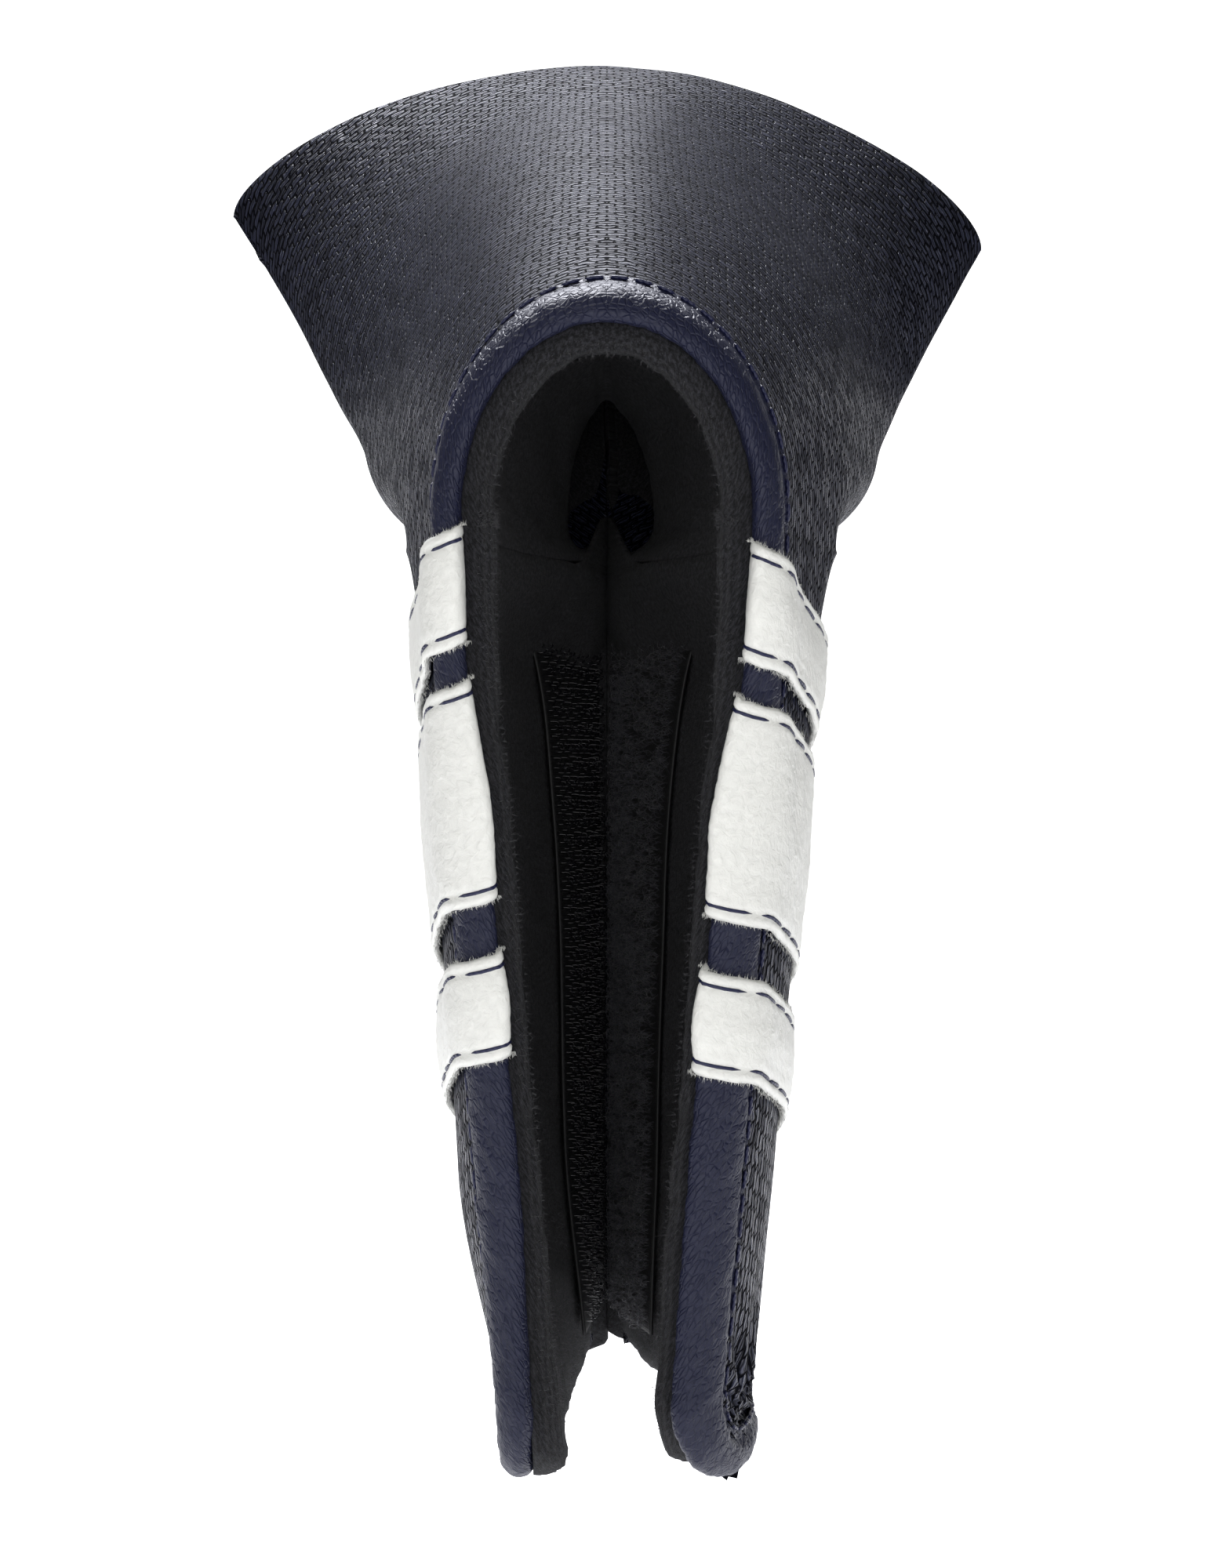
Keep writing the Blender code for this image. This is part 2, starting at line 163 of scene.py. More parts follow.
STRIPE_FALL = 0.35           # a stripe falls this much per unit of y on the flap
STRIPE_RISE = 0.42           # and rises this much per unit of depth over the binding
STRIPE_RUN = 0.085           # a stripe's length, which sets the size of its creases
STRIPE_THIN = (0.4, 0.035)   # share of its thickness at the inner end, and how far that lasts
MIDDLE = 1e-6                # points this near to x = 0 are on the middle line
WELD = 2e-6                  # points this near to each other are joined
ROOT_SMOOTHING = (0.012, 30)         # reach from the flap roots, and rounds of smoothing
FLEECE_RIM = 0.0034          # the fleece rounds over within this distance of the slot
FLEECE_GROW = 0.0004         # and stands this far out of it
BINDING_STEP = 0.00042       # the binding's faces along the edge
BINDING_END = 0.003          # the binding is rounded off over this length
SECTION_LEG = 0.00375        # depth of the inner leg in the binding's section below
EDGE_ROW = (-0.0058, -0.00022, 0.0030)   # stitches by the binding: reach, depth, pitch
STRIPE_ROW = (0.0052, 0.00035, 0.0004)   # stitches on a stripe: pitch, gap, first start
STITCH_END = 0.0002          # a seam stitch ends this far inside its pitch
RAW_FIBRES, NAP_FIBRES, LOOPS = 900, 8000, 4200
HOOKS = (15, 72)             # rows across the tape, and hooks along a row


def bezier(p0, p1, p2, p3, t):
    """Number at t on a cubic."""
    r = 1.0 - t
    return p0 * r**3 + p1 * (3 * r * r * t) + p2 * (3 * r * t * t) + p3 * t**3


def ease(low, high, value):
    """0 below low, 1 above high, smooth between."""
    t = min(max((value - low) / (high - low), 0.0), 1.0)
    return t * t * (3.0 - 2.0 * t)


def steps(first, last, count):
    """Evenly spaced numbers from first to last."""
    return [first + (last - first) * i / (count - 1) for i in range(count)]


def steepness(height, at, step=1e-4):
    """Length of a slanted line per unit of its run, for height(at)."""
    return math.hypot(1.0, (height(at + step) - height(at - step)) / (2 * step))


def run_along(line):
    """Length run at each point of a line."""
    return np.concatenate([[0.0], np.cumsum(np.linalg.norm(np.diff(line, axis=0), axis=1))])


def smooth_path(points, count, closed=False):
    """Evenly spread points on a smooth curve through the given ones."""
    knots = [Vector(point) for point in points]
    last = len(knots) if closed else len(knots) - 1
    fine = []
    for k in range(last):
        near = [knots[(k + j) % len(knots)] if closed else knots[min(max(k + j, 0), last)]
                for j in (-1, 0, 1, 2)]
        for t in steps(0.0, 1.0, 13)[:-1]:
            fine.append(0.5 * (2 * near[1] + (near[2] - near[0]) * t
                               + (2 * near[0] - 5 * near[1] + 4 * near[2] - near[3]) * t**2
                               + (3 * near[1] - near[0] - 3 * near[2] + near[3]) * t**3))
    fine.append(fine[0] if closed else knots[-1])
    fine = np.array(fine)
    run = run_along(fine)
    even = np.linspace(0.0, run[-1], count)
    return np.stack([np.interp(even, run, fine[:, k]) for k in range(fine.shape[1])], axis=1)


class Cover:
    """The cover's surfaces, with every layer taken inwards from the outer face."""

    def __init__(self, sizes):
        for key in CoverSizes.__annotations__:
            value = getattr(sizes, key)
            setattr(self, key, value if isinstance(value, float) else tuple(value))
        self.far_half_width = self.wall + self.tape + 0.0009
        bearing = self.pocket_point("left", self.seat_y / self.pocket_depth, 0.0, self.wall)
        self.seat = Matrix.Translation((0.0, -bearing[1], -bearing[2]))

    def half_width(self, side, y, z):
        """Half width of the outer face on a flap."""
        half = HALVES[side]
        fall = max(-z / self.flap_length, 0.0)
        slot = self.slot_half_width * (1.0 - SLOT_TAPER * fall**1.2)
        belly = slot + self.flap_belly[half] * (1.0 - NECK_PINCH[half] * ease(0.7, 1.0, fall))
        belly += self.root_belly[half] * math.exp(-fall / 0.15)
        lasting, rooted, run = REAR_BELLY
        rear = self.far_half_width + lasting + rooted * math.exp(-fall / run)
        far = self.far_half_width + FAR_SPREAD[0] * math.exp(-fall / FAR_SPREAD[1])
        wide = bezier(slot, belly, rear, far, y / self.flap_depth)
        above = self.pocket_half_width(side, y / self.pocket_depth)
        lesser = 0.5 * (wide + above - math.hypot(wide - above, 0.0012))
        rooted = lesser + (above - lesser) * ease(0.006, 0.0, y)
        return rooted + (wide - rooted) * ease(0.0, ROOT_FADE, -z)

    def flap_point(self, side, y, z, depth):
        """Point on a flap, depth below its outer face."""
        lean = steepness(lambda t: self.half_width(side, t, z), y)
        return SIDES[side] * (self.half_width(side, y, z) - depth * lean), y, z

    def pocket_top(self, s):
        """Height of the pocket's middle line."""
        rise = self.arch_rise + (self.toe_rise - self.arch_rise) * (1.12 * s - 0.12 * s * s)
        return rise + self.toe_lip * ease(0.8, 1.0, s)

    def pocket_half_width(self, side, s):
        """Half width at the pocket's widest line."""
        flare = self.toe_half_width - self.slot_half_width - self.pocket_flare
        bulge = self.pocket_belly[HALVES[side]] * math.sin(math.pi * min(max(s, 0.0), 1.0))
        return self.slot_half_width + self.pocket_flare * s + flare * abs(s)**6 + bulge

    def pocket_point(self, side, s, v, depth):
        """Point on half of the pocket, depth below its outer face: s runs from slot (0) to
        toe (1), v round from the top (0) to the lower edge (1)."""
        y = s * self.pocket_depth
        top = self.pocket_top(s)
        top -= depth * steepness(lambda t: self.pocket_top(t / self.pocket_depth), y)
        wide = self.pocket_half_width(side, s)
        wide -= depth * steepness(lambda t: self.pocket_half_width(side, t / self.pocket_depth), y)
        climb = self.toe_rise - self.toe_droop - sum(WIDEST)
        wide_z = WIDEST[0] + WIDEST[1] * s + WIDEST[2] * s * s + climb * abs(s)**6
        wide_z += 0.7 * depth * ease(0.5, 0.8, s)
        after = self.pocket_depth - self.flap_depth
        run = max((y - self.flap_depth) / after, 0.0)
        turn = ease(0.35, 0.68, s)
        root_x = abs(self.flap_point(side, min(y, self.flap_depth), 0.0, depth * (1 - turn))[0])
        end_x = max(root_x * (1.0 - ease(0.0, CLOSE_RUN, run)), SEAM_GAP)
        rise = self.toe_rise - self.toe_lip
        lift = 1.0 + (math.hypot(1.0, rise / after) - 1.0) * ease(0.0, 0.3, run)
        end_z = rise * run + depth * turn * lift
        if v <= 0.5:
            full = 0.5523 - 0.05 * s
            shoulder = (top - wide_z) * (0.5523 - 0.23 * abs(s)**4)
            x = bezier(0.0, full * wide, wide, wide, 2 * v)
            z = bezier(top, top, wide_z + shoulder, wide_z, 2 * v)
        else:
            closed = ease(0.5, 0.8, s)
            under = max(0.0008 + self.side_round * max(1.0 - s, 0.0)**0.45 - depth, 0.0004)
            drop = (1.0 - closed) * 0.55 * max(wide_z - end_z, 0.0) + closed * under
            reach_x = end_x + turn * 0.5 * (wide - end_x)
            reach_z = end_z + (1.0 - turn) * 0.45 * (wide_z - end_z)
            x = bezier(wide, wide, reach_x, end_x, 2 * v - 1.0)
            z = bezier(wide_z, wide_z - drop, reach_z, end_z, 2 * v - 1.0)
        x *= SIDES[side]
        return x, y, z - TOE_ROLL * x * max(s, 0.0)**2

    def sag(self, point):
        """Where the lining's empty sleeve falls in towards the middle."""
        x, y, z = point
        s = y / self.pocket_depth
        squeeze = ease(0.03, 0.50, s) * (1.0 - ease(0.72, 0.95, s))
        x *= 1.0 - LINING_SAG[0] * squeeze * ease(0.016, 0.0, -z)
        run = max((y - self.flap_depth) / (self.pocket_depth - self.flap_depth), 0.0)
        floor = (self.toe_rise - self.toe_lip) * run + 0.010 * ease(0.0, 0.1, run)
        share = LINING_SAG[1] if z > floor else 0.95 * ease(0.0, 0.1, run)
        return x, y, z - (z - floor) * share * squeeze

    def flap_limits(self, z, grow):
        """First and last y of a flap at height z, for an outline grown by grow."""
        ends = []
        for radius in (self.neck_corner, self.far_corner):
            bend = max(radius - (z + self.flap_length), 0.0)
            ends.append(radius - math.sqrt(max((radius + grow)**2 - bend**2, 0.0)))
        return ends[0], self.flap_depth - ends[1]

    def flap_heights(self, grow, count, turns):
        """Heights down a flap, closer together round its lower corners."""
        corner = -self.flap_length + self.neck_corner
        low = [corner - (self.neck_corner + grow) * math.sin(angle)
               for angle in steps(0.0, 0.5 * math.pi, turns + 1)]
        return steps(0.0, corner, count) + low[1:]

    def edge_stations(self, step):
        """The slot's edge as (on the flap or not, a, b, outward y, outward z): a is v on the
        arch and y on the flap, b is the height."""
        count = int(0.042 / step)
        path = [(False, v, 0.0, -1.0, 0.0) for v in steps(0.0, 1.0, count)[:-1]]
        corner = -self.flap_length + self.neck_corner
        path += [(True, 0.0, z, -1.0, 0.0) for z in steps(0.0, corner, int(-corner / step))]
        turns = int(self.neck_corner * 1.57 / step)
        for angle in steps(0.0, 0.5 * math.pi, turns)[1:-1]:
            path.append((True, self.neck_corner * (1 - math.cos(angle)),
                         corner - self.neck_corner * math.sin(angle),
                         -math.cos(angle), -math.sin(angle)))
        last = self.flap_depth - self.far_corner
        path += [(True, y, -self.flap_length, 0.0, -1.0)
                 for y in steps(self.neck_corner, last, int((last - self.neck_corner) / step))]
        return path

    def edge_point(self, side, station, depth, reach):
        """Point near the slot's edge, depth below the outer face and reach past the edge."""
        on_flap, a, b, out_y, out_z = station
        if on_flap:
            return self.flap_point(side, a + reach * out_y, b + reach * out_z, depth)
        return self.pocket_point(side, -reach / self.pocket_depth, a, depth)


# ---- making meshes ---------------------------------------------------------------
def new_form():
    """An empty bmesh that holds each vertex's place on the flat pattern."""
    form = bmesh.new()
    form.verts.layers.float_vector.new("flat")
    form.loops.layers.uv.new("Flat")
    return form


def flat_lengths(table):
    """Run along the rows and across them at each point of a table of points."""
    along = np.linalg.norm(np.diff(table, axis=0), axis=2)
    across = np.linalg.norm(np.diff(table, axis=1), axis=2)
    flat = np.zeros(table.shape[:2] + (2,))
    flat[1:, :, 1] = np.cumsum(along, axis=0)
    flat[:, 1:, 0] = np.cumsum(across, axis=1)
    return flat


def lay_grids(form, tables, flats):
    """Adds one grid of faces for each table of points. The grid is made once and copied."""
    tables = np.asarray(tables, float)
    rows, cols = tables.shape[1] - 1, tables.shape[2] - 1
    sample = new_form()
    bmesh.ops.create_grid(sample, x_segments=rows, y_segments=cols, size=0.5)
    order = [(round((vert.co.x + 0.5) * rows), round((vert.co.y + 0.5) * cols))
             for vert in sample.verts]
    mesh = bpy.data.meshes.new("grid")
    sample.to_mesh(mesh)
    sample.free()
    first, first_face = len(form.verts), len(form.faces)
    for _ in range(len(tables)):
        form.from_mesh(mesh)
    bpy.data.meshes.remove(mesh)
    form.verts.ensure_lookup_table()
    form.faces.ensure_lookup_table()
    flat_layer = form.verts.layers.float_vector["flat"]
    uv_layer = form.loops.layers.uv["Flat"]
    verts = form.verts[first:]
    for index, vert in enumerate(verts):
        which, place = divmod(index, len(order))
        i, j = order[place]
        vert.co = tables[which, i, j]
        vert[flat_layer] = (*flats[which][i, j], 0.0)
    for face in form.faces[first_face:]:
        for loop in face.loops:
            loop[uv_layer].uv = loop.vert[flat_layer].xy
    return verts


def lay_table(form, table):
    """Adds one table of points, with its own flat pattern."""
    points = np.array(table)
    lay_grids(form, [points], [flat_lengths(points)])


def lay_halves(form, pocket, flap):
    """Adds the pocket's grid and the flap's, and lets the flat pattern run on from one to
    the other as far as they are joined."""
    pocket_flat, flap_flat = flat_lengths(pocket), flat_lengths(flap)
    joined = min(len(flap), len(pocket))
    flap_flat[:joined, :, 0] += pocket_flat[:joined, -1:, 0]
    lay_grids(form, [pocket], [pocket_flat])
    lay_grids(form, [flap], [flap_flat])
    weld(form)


def tube_tables(paths, radii, sides):
    """A table of points round each path, with a radius at each of its points."""
    paths = np.asarray(paths, float)
    radii = np.asarray(radii, float)
    ahead = np.gradient(paths, axis=1)
    ahead /= np.linalg.norm(ahead, axis=2, keepdims=True) + 1e-12
    other = np.where(np.abs(ahead[:, :, 2:3]) > 0.9, np.array([1.0, 0, 0]), np.array([0, 0, 1.0]))
    across = np.cross(ahead, other)
    across /= np.linalg.norm(across, axis=2, keepdims=True) + 1e-12
    up = np.cross(across, ahead)
    turn = np.linspace(0.0, 2 * math.pi, sides + 1)
    ring = (across[:, :, None, :] * np.cos(turn)[None, None, :, None]
            + up[:, :, None, :] * np.sin(turn)[None, None, :, None])
    return paths[:, :, None, :] + ring * radii[..., None, None]


def lay_tubes(form, paths, radii, sides):
    """Adds a closed tube along each path; a radius of nothing at its ends closes it."""
    paths = np.asarray(paths, float)
    radii = np.broadcast_to(np.asarray(radii, float), paths.shape[:2])
    tables = tube_tables(paths, radii, sides)
    lay_grids(form, tables, [flat_lengths(table) for table in tables])


def displace(form, height):
    """Moves each vertex along its normal by height(flat place, vertex place), and keeps
    the middle line on the middle line."""
    form.normal_update()
    layer = form.verts.layers.float_vector["flat"]
    moves = [(vert, vert.normal * height(vert[layer], vert.co)) for vert in form.verts]
    for vert, move in moves:
        if abs(vert.co.x) < MIDDLE:
            move.x = 0.0
        vert.co += move


def face_out(form, way):
    """Turns the faces so that together they face the way that way(centre) points."""
    form.normal_update()
    if sum(face.normal.dot(way(face.calc_center_median())) * face.calc_area()
           for face in form.faces) < 0.0:
        bmesh.ops.reverse_faces(form, faces=form.faces[:])


def weld(form):
    """Joins the points where grids meet or a tube closes."""
    bmesh.ops.remove_doubles(form, verts=form.verts[:], dist=WELD)


def thicken(form, thickness):
    """Gives an open surface a back face, thickness(place) behind it, and closes the rim."""
    form.normal_update()
    behind = form.verts.layers.float_vector.new("behind")
    for vert in form.verts:
        back = -vert.normal * thickness(vert.co)
        if abs(vert.co.x) < MIDDLE:
            back.x = 0.0
        vert[behind] = back
    made = bmesh.ops.extrude_face_region(form, geom=form.faces[:], use_keep_orig=True)
    for vert in made["geom"]:
        if isinstance(vert, bmesh.types.BMVert):
            vert.co += vert[behind]
    form.verts.layers.float_vector.remove(behind)


def finish_piece(name, form, material, cover):
    """Turns a form into an object at the origin, smooth but for its cut middle line."""
    form.transform(cover.seat)
    bmesh.ops.recalc_face_normals(form, faces=form.faces[:])
    for edge in form.edges:
        if max(abs(vert.co.x) for vert in edge.verts) < MIDDLE:
            edge.smooth = False
    mesh = bpy.data.meshes.new(name)
    form.to_mesh(mesh)
    form.free()
    if not mesh.polygons:
        raise RuntimeError(f"{name} has no faces")
    mesh.shade_smooth()
    mesh.materials.append(material)
    piece = bpy.data.objects.new(name, mesh)
    bpy.context.scene.collection.objects.link(piece)
    return piece


def bend_at_root(piece):
    """Bakes the piece's transform into its mesh."""
    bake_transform(piece)


# ---- materials -------------------------------------------------------------------
def linear(code):
    """Linear red, green, blue and alpha of an sRGB hex code."""
    parts = [int(code[i:i + 2], 16) / 255 for i in (1, 3, 5)]
    return (*[p / 12.92 if p <= 0.04045 else ((p + 0.055) / 1.055)**2.4 for p in parts], 1.0)


def add(tree, kind, inputs=(), **settings):
    """Adds a shader node. Each input takes a value or the socket that feeds it."""
    made = tree.nodes.new(kind)
    for key, value in settings.items():
        setattr(made, key, value)
    for key, value in dict(inputs).items():
        if isinstance(value, bpy.types.NodeSocket):
            tree.links.new(value, made.inputs[key])
        else:
            made.inputs[key].default_value = value
    return made


def new_material(name, roughness, inputs=()):
    """A material with its shader, and its flat-pattern place in millimetres."""
    material = bpy.data.materials.new(name)
    material.use_nodes = True
    tree = material.node_tree
    shader = tree.nodes["Principled BSDF"]
    shader.inputs["Roughness"].default_value = roughness
    for key, value in dict(inputs).items():
        shader.inputs[key].default_value = value
    place = add(tree, "ShaderNodeUVMap", uv_map="Flat").outputs[0]
    place = add(tree, "ShaderNodeVectorMath", {0: place, "Scale": 1000.0}, operation="SCALE")
    return material, tree, shader, place.outputs[0]


def maths(tree, operation, *values):
    """Result of a sum on numbers or sockets."""
    return add(tree, "ShaderNodeMath", dict(enumerate(values)), operation=operation).outputs[0]


def ramp(tree, value, low, high, to_low=0.0, to_high=1.0):
    """Takes low to high over into to_low to to_high, and holds it at both ends."""
    return add(tree, "ShaderNodeMapRange",
               {"Value": value, "From Min": low, "From Max": high, "To Min": to_low,
                "To Max": to_high}).outputs[0]


def tint(tree, shader, factor, low, high):
    """Colours the shader from the hex code low to high as factor goes from 0 to 1."""
    mix = add(tree, "ShaderNodeMix", {"Factor": factor, "A": linear(low), "B": linear(high)},
              data_type="RGBA")
    tree.links.new(mix.outputs["Result"], shader.inputs["Base Color"])


def add_bump(tree, shader, height, depth):
    """Relief of the given depth in metres where height runs from 0 to 1."""
    bump = add(tree, "ShaderNodeBump", {"Height": height, "Distance": depth, "Strength": 1.0})
    tree.links.new(bump.outputs[0], shader.inputs["Normal"])


def embossed_leather(colours):
    """Cowhide pressed with a basket weave: staggered cells of fine strands that catch the light
    along their length. Its base colour is painted: near black in the hollows as painted shade
    and a light grey-navy on the raised strands as painted highlight."""
    material, tree, shader, place = new_material("woven_embossed_cowhide", 0.33)
    wobble = add(tree, "ShaderNodeTexNoise", {"Vector": place, "Scale": 0.35, "Detail": 2.0})
    shift = add(tree, "ShaderNodeVectorMath", {0: wobble.outputs["Color"], 1: (0.5, 0.5, 0.5)},
                operation="SUBTRACT")
    shift = add(tree, "ShaderNodeVectorMath", {0: shift.outputs[0], "Scale": 1.5},
                operation="SCALE")
    warped = add(tree, "ShaderNodeVectorMath", {0: place, 1: shift.outputs[0]}, operation="ADD")
    cells = add(tree, "ShaderNodeTexBrick",
                {"Vector": warped.outputs[0], "Color1": (0.55, 0.55, 0.55, 1),
                 "Color2": (1, 1, 1, 1), "Mortar": (0, 0, 0, 1), "Scale": 1.0,
                 "Mortar Size": 0.28, "Mortar Smooth": 1.0, "Brick Width": 2.5,
                 "Row Height": 1.1}, offset=0.5)
    slanted = add(tree, "ShaderNodeMapping", {"Vector": warped.outputs[0],
                                              "Rotation": (0.0, 0.0, 0.22)})
    strands = add(tree, "ShaderNodeTexWave",
                  {"Vector": slanted.outputs[0], "Scale": 0.62, "Distortion": 1.2, "Detail": 1.0,
                   "Detail Scale": 0.6}, wave_type="BANDS", bands_direction="Y")
    fine = maths(tree, "MULTIPLY_ADD", strands.outputs["Fac"], 0.50, 0.50)
    height = maths(tree, "MULTIPLY", cells.outputs["Color"], fine)
    # Painted shade and highlight: the base colour runs from near black in the hollows to light
    # grey-navy on the raised strands.
    tint(tree, shader, ramp(tree, height, 0.30, 0.85), colours.leather_low, colours.leather)
    for name, low, high in (("Roughness", 0.75, 0.27), ("Specular IOR Level", 0.05, 0.75)):
        tree.links.new(ramp(tree, height, 0.25, 0.80, low, high), shader.inputs[name])
    add_bump(tree, shader, height, 0.00120)
    return material


def smooth_leather(colours):
    """Soft calf leather with a pebbled grain and a quiet shine."""
    material, tree, shader, place = new_material(
        "pebbled_calf", 0.48, {"Specular IOR Level": 0.35, "Base Color": linear(colours.binding)})
    cells = add(tree, "ShaderNodeTexVoronoi", {"Vector": place, "Scale": 1.1},
                feature="DISTANCE_TO_EDGE")
    pebbles = ramp(tree, cells.outputs["Distance"], 0.0, 0.16)
    grain = add(tree, "ShaderNodeTexNoise", {"Vector": place, "Scale": 3.2, "Detail": 3.0})
    add_bump(tree, shader, maths(tree, "MULTIPLY_ADD", grain.outputs["Fac"], 0.55, pebbles),
             0.00010)
    return material


def white_leather(colours):
    """Finished white leather, drawn tight, with faint creases across the pull; the creases also
    darken its colour as painted shade.
    """
    material, tree, shader, place = new_material("white_split_leather", 0.46)
    crease_relief_and_shade = add(tree, "ShaderNodeTexNoise", {"Vector": place, "Scale": 0.9, "Detail": 5.0,
                                               "Roughness": 0.6, "Distortion": 0.6})
    # Painted shade: the colour is multiplied down to 0.92 in the crease valleys.
    tone = add(tree, "ShaderNodeMix",
               {"Factor": 1.0, "A": linear(colours.stripe),
                "B": ramp(tree, crease_relief_and_shade.outputs["Fac"], 0.3, 0.62, 0.92, 1.0)},
               data_type="RGBA", blend_type="MULTIPLY")
    tree.links.new(tone.outputs["Result"], shader.inputs["Base Color"])
    add_bump(tree, shader, crease_relief_and_shade.outputs["Fac"], 0.00022)
    return material


def fleece_cloth(colours):
    """Brushed wool fleece: ribs along the slot's edge, lost under the nap further in, with
    a few loose light fibres."""
    material, tree, shader, place = new_material(
        "brushed_wool_fleece", 0.95,
        {"Sheen Weight": 0.10, "Sheen Roughness": 0.5, "Specular IOR Level": 0.15})
    nap = add(tree, "ShaderNodeTexNoise", {"Vector": place, "Scale": 1.9, "Detail": 5.0,
                                           "Roughness": 0.8})
    ribs = add(tree, "ShaderNodeTexWave", {"Vector": place, "Scale": 0.27, "Distortion": 1.6,
                                           "Detail": 2.0, "Detail Scale": 1.5},
               wave_type="BANDS", bands_direction="Y")
    inwards = add(tree, "ShaderNodeSeparateXYZ", {"Vector": place}).outputs["Y"]
    ribbed = maths(tree, "MULTIPLY_ADD", ribs.outputs["Fac"],
                   ramp(tree, inwards, 5.0, 13.0, 0.38, 0.0), nap.outputs["Fac"])
    tint(tree, shader, ramp(tree, nap.outputs["Fac"], 0.44, 0.70), colours.fleece,
         colours.fleck)
    add_bump(tree, shader, ribbed, 0.00045)
    return material


def woven_tape(colours):
    """Close-woven nylon tape with a ribbed ground."""
    material, tree, shader, place = new_material("woven_nylon_tape", 0.55,
                                                 {"Base Color": linear(colours.tape)})
    ground = add(tree, "ShaderNodeTexBrick", {"Vector": place, "Scale": 1.0, "Mortar Size": 0.1,
                                              "Mortar Smooth": 1.0, "Brick Width": 0.7,
                                              "Row Height": 0.35}, offset=0.5)
    height = maths(tree, "SUBTRACT", 1.0, ground.outputs["Fac"])
    add_bump(tree, shader, height, 0.00010)
    return material


def plain_fibre(name, code, roughness, sheen):
    """Fibre whose shape does the work: a plain colour with a little unevenness."""
    material, tree, shader, place = new_material(name, roughness, {"Sheen Weight": sheen})
    dirt = add(tree, "ShaderNodeTexNoise", {"Vector": place, "Scale": 1.2})
    tone = add(tree, "ShaderNodeHueSaturation",
               {"Color": linear(code),
                "Value": maths(tree, "MULTIPLY_ADD", dirt.outputs["Fac"], 0.5, 0.75)})
    tree.links.new(tone.outputs[0], shader.inputs["Base Color"])
    return material


def sewing_thread(colours):
    """Bonded polyester thread, with its plies twisted round it."""
    material, tree, shader, place = new_material("bonded_polyester_thread", 0.42,
                                                 {"Base Color": linear(colours.thread)})
    plies = add(tree, "ShaderNodeTexWave", {"Vector": place, "Scale": 0.75}, wave_type="BANDS",
                bands_direction="DIAGONAL")
    add_bump(tree, shader, plies.outputs["Fac"], 0.00008)
    return material


MAKERS = {"leather": embossed_leather, "binding": smooth_leather, "stripe": white_leather,
          "fleece": fleece_cloth, "tape": woven_tape, "thread": sewing_thread,
          "hook": lambda c: plain_fibre("moulded_nylon_hook", c.hook, 0.25, 0.0),
          "loop": lambda c: plain_fibre("brushed_nylon_loop", c.fleck, 0.35, 0.2),
          "nap": lambda c: plain_fibre("wool_fibre", c.fibre, 0.8, 0.2),
          "raw_edge": lambda c: plain_fibre("split_leather_fibre", c.raw_edge, 0.8, 0.3)}


def material_of(kind, context):
    """The material of one kind, made when it is first asked for."""
    name = f"cover_{kind}"
    for material in bpy.data.materials:
        if material.get("cover_kind") == name:
            return material
    made = MAKERS[kind](context.scene.cover_colours)
    made["cover_kind"] = name
    return made


# ---- relief ----------------------------------------------------------------------
def rumple(place, size, seed):
    """Smooth noise from -1 to 1 whose bumps are about size apart."""
    return noise.noise(Vector((place[0] / size, place[1] / size, seed)))


def pleats(y, z, cover):
    """Height of the folds gathered at the right flap's neck corner."""
    inwards, upwards = y - 0.009, z + cover.flap_length - 0.004
    from_corner = math.hypot(inwards, upwards)
    angle = math.atan2(upwards, inwards)
    near = math.exp(-(from_corner / 0.012)**2) * ease(0.0, 0.004, from_corner)
    return 0.0009 * near * math.sin(13.0 * angle + 0.8 * math.sin(2.3 * angle))


# ---- the pieces ------------------------------------------------------------------
def skin_tables(side, cover):
    """Points of the leather's outer face: the pocket's half and the flap."""
    edge = cover.flap_depth / cover.pocket_depth
    shares = steps(0.0, edge, 101) + steps(edge, 1.0, 61)[1:]
    around = steps(0.0, 1.0, 111)
    pocket = np.array([[cover.pocket_point(side, s, v, 0.0) for v in around] for s in shares])
    toe = pocket[-1]
    middle = 0.5 * (toe + toe[::-1])
    close = [toe + (middle - toe) * (1 - math.cos(angle))
             + np.array([0.0, 0.0018 * math.sin(angle), 0.0])
             for angle in steps(0.0, 0.5 * math.pi, 7)[1:]]
    pocket = np.concatenate([pocket, np.array(close)])
    heights = cover.flap_heights(0.0, 118, 14)
    flap = []
    for z in heights:
        first, last = cover.flap_limits(z, 0.0)
        column = [cover.flap_point(side, first + (last - first) * k / 100, z, 0.0)
                  for k in range(101)]
        half = 0.5 * cover.wall * ease(0.0, 0.010, -z + 0.001)
        for angle in steps(0.0, math.pi, 11)[1:]:
            x, y, _ = cover.flap_point(side, last, z, half * (1 - math.cos(angle)))
            column.append((x, y + 0.6 * half * math.sin(angle), z))
        flap.append(column)
    return pocket, np.array(flap).transpose(1, 0, 2)


